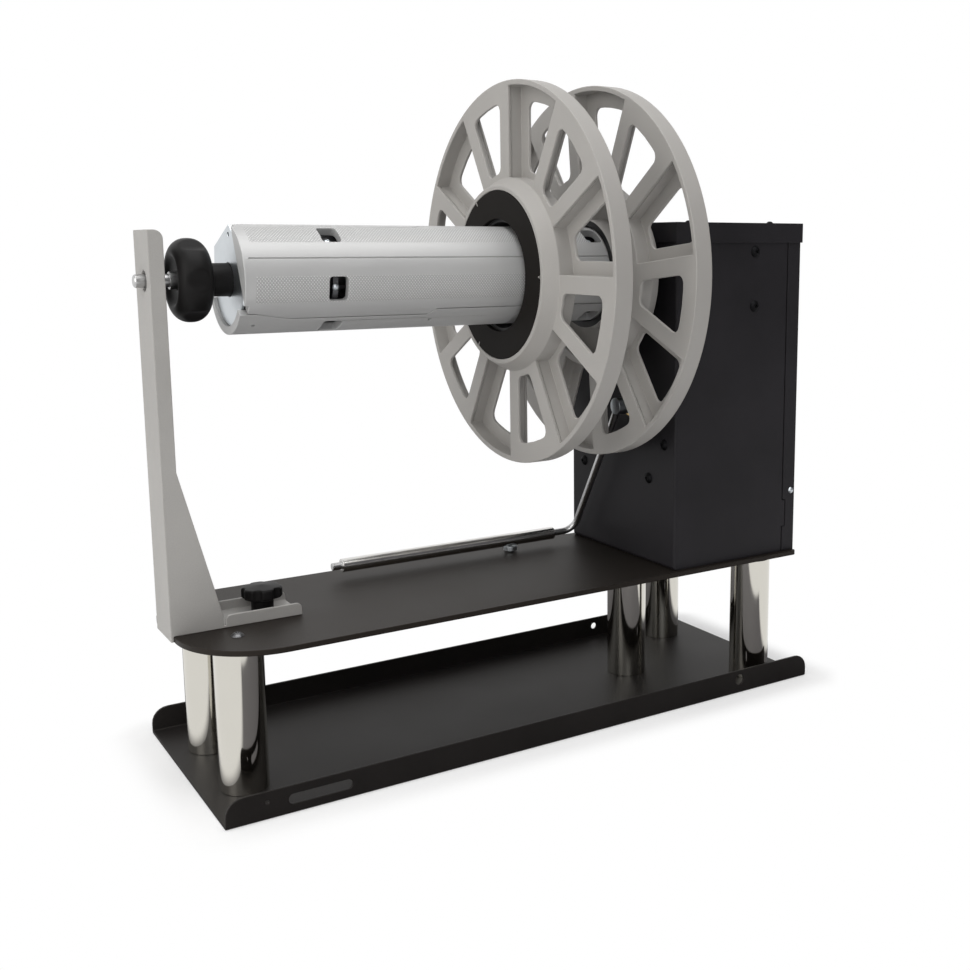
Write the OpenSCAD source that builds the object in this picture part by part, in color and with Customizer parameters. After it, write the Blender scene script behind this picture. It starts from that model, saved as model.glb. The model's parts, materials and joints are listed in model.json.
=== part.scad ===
// Powered label unwinder: an expanding core holder between two spoked flanges, carried by a
// drive box at one end and a removable support arm at the other, over a channel tray on legs.
// Millimetres. X runs along the spindle towards the drive box, Z is up. The origin is the
// centre of the tray's underside, and the spindle lies in the plane y = 0.

/* [Tray and plate] */
// Length of the channel tray
tray_l = 512; // [430:1:600]
// Width of the channel tray
tray_w = 192; // [180:1:240]
// Height of the tray's upturned flanges
tray_h = 20; // [17:1:40]
// Thickness of the tray's sheet
tray_sheet = 2; // [2:0.5:3]
// Radius of the flanges' top corners
tray_corner_r = 12; // [3:1:14]
// Length of the top plate
plate_l = 518; // [500:1:560]
// Place of the plate's left end along X
plate_x0 = -263; // [-290:1:-255]
// Width of the top plate
plate_w = 164; // [150:1:180]
// Thickness of the top plate
plate_t = 4; // [3:0.5:8]
// Radius of the plate's left corners
plate_left_r = 60; // [20:1:74]
// Radius of the plate's right corners
plate_right_r = 4; // [1:0.5:10]

/* [Legs] */
// Length of the leg tubes between tray and plate
leg_l = 105.5; // [80:0.5:200]
// Diameter of the leg tubes
leg_d = 34; // [25:1:38]
// Wall of the leg tubes
leg_wall = 1.5; // [1:0.5:3]
// Length of the threaded plug in each end of a tube
leg_plug_l = 14; // [12:1:30]
// Distance of the left legs' axis from the plate's left end
left_leg_inset = 37; // [30:1:60]
// Distance of the left legs' axes from the middle plane
left_leg_y = 40.5; // [30:0.5:60]
// Distance of the middle leg's axis from the plate's right end
middle_leg_inset = 125.5; // [118:0.5:127]
// Distance of the right legs' axis from the plate's right end
right_leg_inset = 39; // [25:1:50]
// Distance of the right legs' axes from the middle plane
right_leg_y = 65; // [55:1:66]

/* [Drive box] */
// Length of the drive box along X
box_l = 132; // [125:1:150]
// Width of the drive box
box_w = 154; // [150:1:164]
// Height of the drive box above the plate
box_h = 283.5; // [280:0.5:340]
// Thickness of the box's sheet
box_sheet = 2; // [1.5:0.5:3]
// Depth of the lid's skirt
lid_skirt = 16; // [8:1:20]
// Thickness of the lid's sheet
lid_sheet = 1.2; // [1:0.1:2]
// Length of the rear cover's side returns
cover_return = 14; // [12:0.5:25]
// Thickness of the steel frame plate behind the box's left wall
frame_t = 6; // [4:0.5:8]
// Width of the frame plate
frame_w = 140; // [132:1:144]

/* [Spindle] */
// Height of the spindle axis above the plate
axis_h = 241.8; // [238:0.1:250]
// Diameter of the spindle shaft
shaft_d = 15; // [12:0.5:18]
// Diameter of the shaft's threaded end inside the hand knob
thread_d = 12; // [9.5:0.5:14]
// Diameter of the pin that the support arm carries
pin_d = 9; // [6:0.5:9]
// Length of the pin beyond the hand knob
pin_l = 24; // [20:1:40]
// Thickness of a bearing along the shaft
bearing_w = 9; // [7:1:12]
// Outer diameter of the bearings
bearing_d = 32; // [32:1:40]
// Length of the bearing housing
housing_l = 52; // [44:1:52]

/* [Core holder] */
// Diameter of the closed core holder, for a standard core with a 76.2 bore
core_d = 76; // [74:0.5:78]
// Length of the jaws
core_l = 296.3; // [270:0.1:300]
// Wall of the jaws
jaw_wall = 6; // [5:0.5:7]
// Distance that the jaws reach into the inner flange
core_overlap = 5.6; // [2:0.1:10]
// Angle of the front jaw's middle line, from the front towards the top
jaw_angle = 23; // [0:1:60]
// Gap between neighbouring jaws
seam_gap = 1; // [0.6:0.1:2]
// Angle by which the interlocking tongue passes the seam
tongue_angle = 8; // [4:0.5:12]
// Length of the interlocking tongue
tongue_l = 127; // [100:1:130]
// Travel of each jaw from closed to open
jaw_travel = 0.75; // [0.5:0.05:1.5]
// Length of the windows along the jaw
window_l = 14; // [8:0.5:16]
// Angle spanned by a window
window_angle = 26; // [16:1:30]
// Angle between a jaw's middle line and the middle of its windows
window_offset = 33; // [26:1:36]
// Distance from the jaw's left end to the left windows' middle
left_window_x = 63; // [60:0.5:80]
// Distance from the jaw's right end to the right windows' middle
right_window_x = 13; // [12:0.5:20]

/* [Flanges] */
// Diameter of the flanges
flange_d = 300; // [260:1:320]
// Depth of the flanges between their two planes
flange_w = 14.7; // [10:0.1:20]
// Thickness of the flanges' faces and radial walls
flange_t = 2.5; // [2:0.1:3]
// Thickness of the rim
rim_t = 4; // [3:0.5:8]
// Diameter of the bore that slides over the core holder
flange_bore = 83; // [82:0.5:86]
// Diameter of the hub's foot on the flange's face
hub_foot_d = 152; // [148:1:160]
// Diameter of the hub's front edge
hub_face_d = 139; // [136:1:144]
// Height of the hub in front of the flange's face
hub_rise = 11; // [8:0.5:14]
// Radius at which the windows start
hole_r0 = 81; // [78:1:90]
// Width of the band between the windows and the rim's outer edge
rim_band = 16; // [10:1:24]
// Width of the rib between a window and the radial wall's middle
rib_w = 12; // [8:0.5:16]
// Radius of the windows' corners
hole_corner_r = 6; // [2:0.5:7]
// Distance between the flanges, which is the width of the roll
roll_w = 56.2; // [20:0.1:120]
// Outer diameter of the dark ring in each hub
ring_d = 131.6; // [120:0.1:132]
// Bore of the dark ring
ring_bore = 88; // [84:1:100]
// Thickness of the dark ring
ring_t = 4; // [2:0.5:5]
// Gap between the inner flange's hub and the drive box
hub_gap = 12; // [10.5:0.5:14]
// Turn of the inner flange against the outer one
inner_turn = 6; // [0:1:30]

/* [Hand knob] */
// Diameter of the hand knob
knob_d = 57; // [45:1:70]
// Thickness of the hand knob
knob_w = 24; // [20:1:24]
// Diameter of the knob's hub
knob_hub_d = 23; // [18:0.5:23]
// Length of the knob's hub
knob_hub_l = 18; // [14:0.5:18]
// Number of lobes on the hand knob
knob_lobes = 6; // [4:1:8]
// Depth of the flutes between the lobes
knob_flute = 2.5; // [1:0.5:5]
// Pitch of the thread that draws the wedges
thread_pitch = 2; // [1:0.25:3]

/* [Support arm] */
// Thickness of the arm's sheet
arm_sheet = 2; // [1.5:0.5:3]
// Width of the arm
arm_w = 37.8; // [34:0.1:45]
// Height of the arm above the plate
arm_h = 275.5; // [262:0.5:290]
// Depth of the arm's side flanges along their upper part
arm_depth = 10; // [6:0.5:14]
// Depth of the side flanges at their foot
arm_foot_depth = 36.4; // [20:0.1:44]
// Height above the plate at which the side flanges start to widen
arm_kink_h = 113.5; // [80:0.5:180]
// Length of the foot along the plate, with the web
foot_l = 93; // [85:1:100]
// Height of the foot's side lips
lip_h = 9; // [5:0.5:14]
// Diameter of the hole for the spindle's pin
arm_hole_d = 14; // [11:0.5:16]
// Distance of the clamp stud from the plate's left end
clamp_inset = 68; // [64:1:74]
// Diameter of the clamp knob's head
clamp_d = 33; // [24:1:34]
// Height of the clamp knob's head
clamp_h = 12; // [8:0.5:18]
// Diameter of the clamp stud
stud_d = 8; // [6:0.5:8]

/* [Dancer] */
// Diameter of the dancer rod
rod_d = 6; // [4:0.5:6]
// Diameter of the dancer's roller tube
roller_d = 11; // [10:0.5:14]
// Length of the roller tube
roller_l = 199; // [150:1:205]
// Distance from the pivot to the roller's axis
dancer_r = 140.3; // [135:0.1:142]
// Angle of the arm from the vertical
dancer_tilt = 30.4; // [28:0.1:33]
// Distance of the pivot in front of the middle plane
pivot_y = 15; // [10:0.5:18]
// Height of the pivot above the plate
pivot_h = 131.5; // [130:0.5:135]
// Radius of the rod's bend
bend_r = 12; // [8:0.5:16]

/* [Drive] */
// Width of the motor's square body
motor_w = 57; // [42:1:57]
// Length of the motor's body
motor_l = 44; // [30:1:44]
// Height of the motor's axis above the plate
motor_h = 88.5; // [85:0.5:90]
// Distance of the motor's axis behind the middle plane
motor_y = 8; // [4:0.5:9]
// Pitch diameter of the driven pulley
driven_d = 60; // [50:1:70]
// Pitch diameter of the motor's pulley
driver_d = 24; // [18:1:30]
// Width of the drive belt
belt_w = 9; // [6:0.5:9]
// Thickness of the drive belt
belt_t = 2; // [1:0.5:3]

/* [Fits] */
// Radial clearance of a shaft or pin that turns in a bore
running_gap = 0.05; // [0.02:0.01:0.08]
// Gap between pieces that must not touch
free_gap = 0.3; // [0.3:0.05:0.5]
// Diameter of the main screws
screw_d = 5; // [4:0.5:5]
// Diameter of the small screws
small_screw_d = 3; // [2.5:0.5:3]

/* [Hidden] */
$fn = 96;

// Length by which every cut passes the face that it goes through
over = 1;
// Steps of a rounded corner in an outline
arc_steps = 6;

// Heights and ends of the tray, plate and box
plate_z = tray_sheet + leg_l;
plate_top = plate_z + plate_t;
plate_x1 = plate_x0 + plate_l;
box_x0 = plate_x1 - box_l;
box_top = plate_top + box_h;
axis_z = plate_top + axis_h;
box_side = box_w / 2;
wall_top = box_top - lid_sheet - free_gap / 3;
frame_x0 = box_x0 + box_sheet;
frame_x1 = frame_x0 + frame_t;

// Places of the leg axes on the plate
leg_places = [
  [plate_x0 + left_leg_inset, -left_leg_y],
  [plate_x0 + left_leg_inset, left_leg_y],
  [plate_x1 - middle_leg_inset, 0],
  [plate_x1 - right_leg_inset, -right_leg_y],
  [plate_x1 - right_leg_inset, right_leg_y]];
leg_plug_gap = 0.05;

// Screws: heads and shanks as shares of the thread's diameter
head_d_share = 1.9;
head_h_share = 0.55;
socket_share = 0.6;
flat_head_share = 1.85;
screw_hole_gap = 0.25;

// Small features of the tray's flanges
tray_hole_d = 3;
tray_hole_x = 28;
tray_hole_z = 12.6;
tray_slot_x = 42.5;
tray_slot_l = 45.5;
tray_slot_w = 7;
tray_slot_z = 10.3;
tray_port_d = 9;
tray_port_x = 76;
tray_port_z = 12;
tray_rear_hole_d = 6;
tray_rear_hole_x = 99;

// Places along the spindle
inner_hub_x = box_x0 - hub_gap;
inner_front_x = inner_hub_x - hub_rise;
inner_face_x = inner_front_x - flange_w;
outer_face_x = inner_face_x - roll_w;
outer_front_x = outer_face_x - flange_w;
core_x1 = inner_face_x + core_overlap;
core_x0 = core_x1 - core_l;
core_r = core_d / 2;
end_plate_t = 2;
end_plate_gap = 0.7;
end_plate_x1 = core_x0 - end_plate_gap;
knob_hub_x1 = core_x0 + free_gap;
knob_x1 = knob_hub_x1 - knob_hub_l;
knob_x0 = knob_x1 - knob_w;
pin_x0 = knob_x0 - pin_l;

// Core holder: seams, wedges and discs
jaw_count = 3;
jaw_step = 360 / jaw_count;
jaw_r0 = core_r - jaw_wall;
lower_lip = 5.2;
tongue_x0 = 12;
end_chord_r = 24.5;
front_lip = 3;
rear_inset = 5;
pin_hole_inset = 6;
pin_hole_step = 133;
pin_hole_angle = 42;
pin_hole_r = 1.2;
groove_w = 1;
groove_depth = 0.8;
disc_t = 4;
sleeve_r = shaft_d / 2 + free_gap;
sleeve_wall = 3.2;
sleeve_outer_r = sleeve_r + sleeve_wall;
disc_r = jaw_r0 - over;
rail_w = 8;
rail_r0 = sleeve_outer_r + 2 * over;
wedge_slope = 0.5;
draw_travel = jaw_travel / wedge_slope;
wedge_l = 24;
wedge_r1 = disc_r - over;
wedge_head_t = 4;
wedge_head_w = 12;
wedge_neck_w = 6;
wedge_gap = 2 * over;
foot_inset = draw_travel;
foot_w = 20;
foot_hook = 3;
left_disc_x = core_x0 + left_window_x;
right_disc_x = core_x1 - right_window_x;
left_wedge_x = left_disc_x - disc_t / 2 - wedge_gap - draw_travel - wedge_l;
right_wedge_x = right_disc_x - disc_t / 2 - wedge_gap - draw_travel - wedge_l;
jaw_slot_w = 2;
jaw_slot_l = 9;

// Bearings and housing
housing_r = 24;
housing_foot_r = 38;
housing_foot_t = 8;
housing_pcd = 62;
housing_bolts = 4;
bearing_inset = 2;
bearing_shoulder = 1.5;
bearing_x = [frame_x1 + bearing_inset, frame_x1 + housing_l - bearing_inset - bearing_w];
ball_count = 9;
ball_d = 4.76;
ring_land = 2;
groove_gap = 0.1;
shaft_hole_r = 18;

// Drive train
pulley_gap = 4;
pulley_x0 = frame_x1 + housing_l + pulley_gap;
pulley_flange_t = 1.5;
pulley_lip = 3;
belt_x0 = pulley_x0 + pulley_flange_t + free_gap;
pulley_w = belt_w + 2 * pulley_flange_t + 2 * free_gap;
shaft_end = 3;
shaft_x1 = pulley_x0 + pulley_w + shaft_end;
motor_z = plate_top + motor_h;
bracket_t = 4;
motor_gap = 5;
motor_x1 = frame_x1 + motor_gap + motor_l;
post_r = 5;
post_y = 38;
post_z = 24;
rotor_r = 4;
motor_boss_r = 19;
motor_boss_h = 1.6;
motor_bolt_share = 0.826;

// Hidden-side pieces on the rear cover
inlet_w = 28;
inlet_h = 22;
inlet_depth = 22;
inlet_lip = 4;
inlet_z = 38;
switch_w = 22;
switch_h = 30;
switch_depth = 18;
switch_z = 76;
rocker_w = 11;
rocker_h = 21;
rocker_t = 6;
rocker_rise = 2.5;

// Unit vector of a direction in a plane
function unit(v) = v / norm(v);

// Points of one rounded corner at p between its neighbours a and b
function corner(a, p, b, r, steps) =
  r == 0 ? [p] :
  let (u = unit(a - p),
    v = unit(b - p),
    half = acos(u * v) / 2,
    c = p + unit(u + v) * r / sin(half),
    s = p + u * r / tan(half) - c,
    e = p + v * r / tan(half) - c,
    start = atan2(s.y, s.x),
    turn = atan2(e.y, e.x) - start,
    sweep = turn > 180 ? turn - 360 : turn < -180 ? turn + 360 : turn)
  [for (i = [0:steps])
    c + r * [cos(start + sweep * i / steps), sin(start + sweep * i / steps)]];

// Outline through points whose corners are rounded, each by its own radius
function rounded(pts, radii, steps = arc_steps) =
  [for (i = [0:len(pts) - 1])
    each corner(pts[(i + len(pts) - 1) % len(pts)], pts[i], pts[(i + 1) % len(pts)],
      is_list(radii) ? radii[i] : radii, steps)];

// Points of an arc about the origin
function arc(r, from, to, steps) =
  [for (i = [0:steps]) r * [cos(from + (to - from) * i / steps),
    sin(from + (to - from) * i / steps)]];

// Corners of a rectangle from its lower left to its upper right corner
function rect(a, b) = [a, [b.x, a.y], b, [a.x, b.y]];

// Turns a shape that is built upwards from the floor so that it runs along +X
module along_x() {
  rotate([90, 0, 90]) children();
}

// Turns a shape that is built upwards so that it runs along -Y
module along_front() {
  rotate([90, 0, 0]) children();
}

// Places a shape on the spindle axis, turned from the front towards the top
module on_axis(angle = 0) {
  translate([0, 0, axis_z]) rotate([-angle, 0, 0]) children();
}

// Cylinder along X from one place to another
module rod_x(x0, x1, r) {
  translate([x0, 0, 0]) along_x() cylinder(h = x1 - x0, r = r);
}

// Tube along X from one place to another
module tube_x(x0, x1, r, bore_r) {
  difference() {
    rod_x(x0, x1, r);
    rod_x(x0 - over, x1 + over, bore_r);
  }
}

// Button-head socket screw, with its head upwards and its seat at the origin
module button_screw(d, shank) {
  head_r = d * head_d_share / 2;
  head_h = d * head_h_share;
  difference() {
    union() {
      translate([0, 0, -shank]) cylinder(h = shank, d = d);
      intersection() {
        cylinder(h = head_h, r = head_r);
        translate([0, 0, head_h - dome_r(head_r, head_h)]) sphere(r = dome_r(head_r, head_h));
      }
    }
    translate([0, 0, head_h - d * socket_share / 2])
      cylinder(h = d * socket_share, d = d * socket_share, $fn = 6);
  }
}

// Radius of the ball that gives a screw head its dome
function dome_r(r, h) = (r * r + h * h) / (2 * h);

// Countersunk screw, with its flat head's face at the origin and its point upwards
module flat_screw(d, shank, head_h) {
  difference() {
    union() {
      cylinder(h = shank, d = d);
      cylinder(h = head_h, d1 = d * flat_head_share, d2 = d);
    }
    translate([0, 0, -over]) cylinder(h = over + head_h / 2, d = d * socket_share, $fn = 6);
  }
}

// Tray: folded channel with open ends, rounded flange corners and service holes
module tray_section() {
  s = tray_w / 2;
  polygon(rounded([[-s, 0], [s, 0], [s, tray_h], [s - tray_sheet, tray_h],
    [s - tray_sheet, tray_sheet], [-s + tray_sheet, tray_sheet], [-s + tray_sheet, tray_h],
    [-s, tray_h]], [tray_sheet, tray_sheet, 0, 0, tray_sheet / 2, tray_sheet / 2, 0, 0]));
}

module tray_side() {
  l = tray_l / 2;
  polygon(rounded([[-l, 0], [l, 0], [l, tray_h], [-l, tray_h]],
    [0, 0, tray_corner_r, tray_corner_r]));
}

module tray_hole(x, z, d, side) {
  translate([x, side * (tray_w / 2 - tray_sheet / 2), z]) along_front()
    cylinder(h = tray_sheet + 2 * over, d = d, center = true);
}

module base_tray() {
  l = tray_l / 2;
  color("dimgray")
  difference() {
    intersection() {
      translate([-l, 0, 0]) along_x() linear_extrude(tray_l) tray_section();
      along_front() linear_extrude(tray_w + 2 * over, center = true) tray_side();
    }
    for (p = leg_places)
      translate([p.x, p.y, -over]) {
        cylinder(h = tray_sheet + 2 * over, d = screw_d + 2 * screw_hole_gap);
        translate([0, 0, over])
          cylinder(h = tray_sheet, d1 = screw_d * flat_head_share + 2 * screw_hole_gap,
            d2 = screw_d + 2 * screw_hole_gap);
      }
    tray_hole(tray_hole_x - l, tray_hole_z, tray_hole_d, -1);
    tray_hole(l - tray_port_x, tray_port_z, tray_port_d, -1);
    tray_hole(l - tray_rear_hole_x, tray_port_z, tray_rear_hole_d, 1);
    for (x = [tray_slot_w / 2, tray_slot_l - tray_slot_w / 2])
      tray_hole(tray_slot_x - l + x, tray_slot_z, tray_slot_w, -1);
    translate([tray_slot_x - l + tray_slot_w / 2, -tray_w / 2 - over,
        tray_slot_z - tray_slot_w / 2])
      cube([tray_slot_l - tray_slot_w, tray_sheet + 2 * over, tray_slot_w]);
  }
}

// Top plate: wide rounded corners at the left, with its screw and cable holes
module plate_outline() {
  s = plate_w / 2;
  difference() {
    union() {
      translate([plate_x0 + plate_left_r, -s])
        square([plate_l - plate_left_r - plate_right_r, plate_w]);
      translate([plate_x0, -s + plate_left_r])
        square([plate_left_r + over, plate_w - 2 * plate_left_r]);
      translate([plate_x1 - plate_right_r - over, -s + plate_right_r])
        square([plate_right_r + over, plate_w - 2 * plate_right_r]);
      for (side = [-1, 1]) {
        translate([plate_x0 + plate_left_r, side * (s - plate_left_r)])
          circle(r = plate_left_r);
        translate([plate_x1 - plate_right_r, side * (s - plate_right_r)])
          circle(r = plate_right_r);
      }
    }
    for (p = leg_places) translate(p) circle(d = screw_d + 2 * screw_hole_gap);
    translate([plate_x0 + clamp_inset, 0]) circle(d = stud_d + 2 * running_gap);
  }
}

module top_plate() {
  color("#33302e") translate([0, 0, plate_z]) linear_extrude(plate_t) plate_outline();
}

// Legs: chromed tubes with a threaded plug pressed into each end
module leg_tubes() {
  color("gainsboro")
  for (p = leg_places)
    translate([p.x, p.y, tray_sheet])
      difference() {
        cylinder(h = leg_l, d = leg_d);
        translate([0, 0, -over]) cylinder(h = leg_l + 2 * over, d = leg_d - 2 * leg_wall);
      }
}

module leg_plugs() {
  plug_r = leg_d / 2 - leg_wall - leg_plug_gap;
  color("silver")
  for (p = leg_places, z = [tray_sheet, plate_z - leg_plug_l])
    translate([p.x, p.y, z])
      difference() {
        cylinder(h = leg_plug_l, r = plug_r);
        translate([0, 0, -over])
          cylinder(h = leg_plug_l + 2 * over, d = screw_d + 2 * running_gap);
      }
}

// The legs' top screws clamp the plate, and the box's bottom flanges too under the box
module leg_top_screws() {
  color("#1d1d1f")
  for (i = [0:len(leg_places) - 1])
    translate([leg_places[i].x, leg_places[i].y,
        plate_top + (leg_places[i].x > box_x0 ? box_sheet : 0)])
      button_screw(screw_d, plate_t + leg_plug_l / 2 + box_sheet);
}

module leg_bottom_screws() {
  color("silver")
  for (p = leg_places)
    translate([p.x, p.y, 0]) flat_screw(screw_d, tray_sheet + leg_plug_l / 2, tray_sheet);
}

// Drive box: left, front and back walls in one folded sheet, with inward flanges
seam_x = plate_x1 - cover_return;
seam_gap_x = 0.5;
seam_tongue = 3.5;
seam_tongue_h = 23;
seam_tongue_z = 22.5;
bottom_flange = 22;
top_flange = 12;
tab_w = 11;
tab_h = 18;
tab_z = 53.5;
tab_place_share = 0.3;

module wall_outline() {
  x1 = seam_x - seam_gap_x;
  tongue = [seam_tongue_z, seam_tongue_z + seam_tongue_h];
  polygon([[box_x0, plate_top], [x1, plate_top], [x1, plate_top + tongue[0]],
    [x1 + seam_tongue, plate_top + tongue[0]], [x1 + seam_tongue, plate_top + tongue[1]],
    [x1, plate_top + tongue[1]], [x1, wall_top], [box_x0, wall_top]]);
}

module cover_tab(side) {
  y0 = side > 0 ? box_side - 2 * box_sheet : -box_side + box_sheet;
  x1 = seam_x - seam_gap_x;
  difference() {
    translate([x1 - tab_w, y0, plate_top + tab_z - tab_h / 2])
      cube([2 * tab_w, box_sheet, tab_h]);
    cover_screw_bore(side, small_screw_d + 2 * running_gap);
  }
}

module cover_screw_bore(side, d) {
  translate([seam_x + cover_return * (1 - tab_place_share), side * box_side,
      plate_top + tab_z])
    along_front() cylinder(h = 6 * box_sheet, d = d, center = true);
}

module box_chassis() {
  x1 = seam_x - seam_gap_x;
  color("#2a2a2c")
  difference() {
    union() {
      translate([box_x0, -box_side, plate_top])
        cube([box_sheet, box_w, wall_top - plate_top]);
      for (y = [-box_side + box_sheet, box_side])
        translate([0, y, 0]) along_front() linear_extrude(box_sheet) wall_outline();
      for (y = [-box_side, box_side - bottom_flange])
        translate([box_x0, y, plate_top]) cube([x1 - box_x0, bottom_flange, box_sheet]);
      for (y = [-box_side, box_side - top_flange])
        translate([box_x0, y, wall_top - box_sheet])
          cube([x1 - box_x0, top_flange, box_sheet]);
      translate([box_x0, -box_side, plate_top]) cube([bottom_flange, box_w, box_sheet]);
      for (side = [-1, 1]) cover_tab(side);
    }
    for (p = leg_places)
      translate([p.x, p.y, plate_top - over])
        cylinder(h = box_sheet + 2 * over, d = screw_d + 2 * screw_hole_gap);
    on_axis() rod_x(box_x0 - over, frame_x0 + over, shaft_hole_r);
    translate([0, -pivot_y, plate_top + pivot_h])
      rod_x(box_x0 - over, frame_x0 + over, bush_r + running_gap);
    for (p = wall_screw_places)
      translate([0, p[0], plate_top + p[1]])
        rod_x(box_x0 - over, frame_x0 + over, screw_d / 2 + screw_hole_gap);
    for (z = panel_screw_h)
      translate([plate_x1 - panel_screw_inset, -box_side, plate_top + z]) along_front()
        cylinder(h = 6 * box_sheet, d = screw_d + 2 * screw_hole_gap, center = true);
    for (p = lid_screw_places)
      translate([p.x, p.y, wall_top - box_sheet - over])
        cylinder(h = box_sheet + 2 * over, d = small_screw_d + 2 * running_gap);
  }
}

// Places of the screws in the box's walls: across and above the plate, or above it
wall_screw_places = [[-41, 72.5], [-62, 103.5], [57.5, 73]];
panel_screw_inset = 50.5;
panel_screw_h = [215.3, 260.2];
lid_screw_inset = 16;
lid_screw_places = [for (x = [box_x0 + lid_screw_inset, seam_x - lid_screw_inset],
  side = [-1, 1]) [x, side * (box_side - top_flange / 2)]];

module box_lid() {
  gap = free_gap / 3;
  l = box_l + 2 * gap + lid_sheet;
  color("#2a2a2c")
  difference() {
    translate([box_x0 - gap - lid_sheet, -box_side - gap - lid_sheet, box_top - lid_skirt])
      cube([box_l + 2 * (gap + lid_sheet), box_w + 2 * (gap + lid_sheet), lid_skirt]);
    translate([box_x0 - gap, -box_side - gap, box_top - lid_skirt - over])
      cube([box_l + 2 * gap, box_w + 2 * gap, lid_skirt - lid_sheet + over]);
    for (p = lid_screw_places)
      translate([p.x, p.y, box_top - lid_sheet - over])
        cylinder(h = lid_sheet + 2 * over, d = small_screw_d + 2 * screw_hole_gap);
  }
}

module lid_screws() {
  color("#1d1d1f")
  for (p = lid_screw_places)
    translate([p.x, p.y, box_top]) button_screw(small_screw_d, lid_sheet + 2 * box_sheet);
}

// Rear cover: right wall with a return on each side, notched for the chassis's tongue
module return_outline() {
  z0 = plate_top + seam_tongue_z - seam_gap_x;
  z1 = z0 + seam_tongue_h + 2 * seam_gap_x;
  polygon([[seam_x, plate_top], [plate_x1, plate_top], [plate_x1, wall_top],
    [seam_x, wall_top], [seam_x, z1], [seam_x + seam_tongue, z1], [seam_x + seam_tongue, z0],
    [seam_x, z0]]);
}

module rear_cover() {
  color("#2a2a2c")
  difference() {
    union() {
      translate([plate_x1 - box_sheet, -box_side, plate_top])
        cube([box_sheet, box_w, wall_top - plate_top]);
      for (y = [-box_side + box_sheet, box_side])
        translate([0, y, 0]) along_front() linear_extrude(box_sheet) return_outline();
    }
    for (side = [-1, 1]) cover_screw_bore(side, small_screw_d + 2 * screw_hole_gap);
    translate([plate_x1 - box_sheet - over, -inlet_w / 2 - free_gap,
        plate_top + inlet_z - inlet_h / 2 - free_gap])
      cube([box_sheet + 2 * over, inlet_w + 2 * free_gap, inlet_h + 2 * free_gap]);
    translate([plate_x1 - box_sheet - over, -switch_w / 2 - free_gap,
        plate_top + switch_z - switch_h / 2 - free_gap])
      cube([box_sheet + 2 * over, switch_w + 2 * free_gap, switch_h + 2 * free_gap]);
  }
}

module cover_screws() {
  color("silver")
  for (side = [-1, 1])
    translate([seam_x + cover_return * (1 - tab_place_share), side * box_side,
        plate_top + tab_z])
      rotate([side < 0 ? 90 : -90, 0, 0]) button_screw(small_screw_d, 3 * box_sheet);
}

module panel_screws() {
  color("#1d1d1f")
  for (z = panel_screw_h)
    translate([plate_x1 - panel_screw_inset, -box_side, plate_top + z])
      along_front() button_screw(screw_d, 2 * box_sheet + board_bracket_t);
}

module wall_screws() {
  color("#1d1d1f")
  for (p = wall_screw_places)
    translate([box_x0, p[0], plate_top + p[1]])
      rotate([0, -90, 0]) button_screw(screw_d, box_sheet + frame_t);
}

// Frame plate: carries the bearings, the motor and the dancer's bush
frame_top_gap = 8;
foot_notch_w = 16;
foot_notch_h = 8;
frame_corner_r = 10;

module frame_plate() {
  z0 = plate_top + box_sheet;
  z1 = wall_top - box_sheet - frame_top_gap;
  color("lightslategray")
  difference() {
    translate([frame_x0, 0, 0]) along_x() linear_extrude(frame_t)
      polygon(rounded(rect([-frame_w / 2, z0], [frame_w / 2, z1]),
        [0, 0, frame_corner_r, frame_corner_r]));
    translate([frame_x0 - over, -foot_notch_w / 2, z0 - over])
      cube([frame_t + 2 * over, foot_notch_w, foot_notch_h + over]);
    on_axis() {
      rod_x(frame_x0 - over, frame_x1 + over, shaft_hole_r);
      for (i = [0:housing_bolts - 1]) rotate([i * 360 / housing_bolts + 45, 0, 0])
        translate([0, housing_pcd / 2, 0])
          rod_x(frame_x0 - over, frame_x1 + over, screw_d / 2 + running_gap);
    }
    translate([0, -pivot_y, plate_top + pivot_h])
      rod_x(frame_x0 - over, frame_x1 + over, bush_r + running_gap);
    for (p = wall_screw_places)
      translate([0, p[0], plate_top + p[1]])
        rod_x(frame_x0 - over, frame_x1 + over, screw_d / 2 + running_gap);
    post_places() rod_x(frame_x0 - over, frame_x1 + over, small_screw_d / 2 + running_gap);
  }
}

// Places of the motor bracket's four posts
module post_places() {
  for (y = [-1, 1], z = [-1, 1])
    translate([0, motor_y + y * post_y, motor_z + z * post_z]) children();
}

// Bearing housing: flanged barrel with a seat at each end
module bearing_housing() {
  x1 = frame_x1 + housing_l;
  seat_r = bearing_d / 2 + running_gap;
  color("silver") on_axis()
  difference() {
    union() {
      rod_x(frame_x1, x1, housing_r);
      rod_x(frame_x1, frame_x1 + housing_foot_t, housing_foot_r);
    }
    rod_x(frame_x1 - over, x1 + over, bearing_d / 2 - bearing_shoulder);
    rod_x(frame_x1 - over, bearing_x[0] + bearing_w, seat_r);
    rod_x(bearing_x[1], x1 + over, seat_r);
    for (i = [0:housing_bolts - 1]) rotate([i * 360 / housing_bolts + 45, 0, 0])
      translate([0, housing_pcd / 2, 0])
        rod_x(frame_x1 - over, frame_x1 + housing_foot_t + over,
          screw_d / 2 + screw_hole_gap);
  }
}

module housing_screws() {
  color("#1d1d1f") on_axis()
  for (i = [0:housing_bolts - 1]) rotate([i * 360 / housing_bolts + 45, 0, 0])
    translate([frame_x1 + housing_foot_t, housing_pcd / 2, 0])
      rotate([0, 90, 0]) button_screw(screw_d, housing_foot_t + frame_t);
}

// Ball bearings: two rings with a grooved track each, and the balls between them
ball_r = ball_d / 2;
ball_pitch_r = (bearing_d / 2 + shaft_d / 2) / 2;

module bearing_groove() {
  rotate_extrude() translate([ball_pitch_r, 0]) circle(r = ball_r + groove_gap);
}

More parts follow.
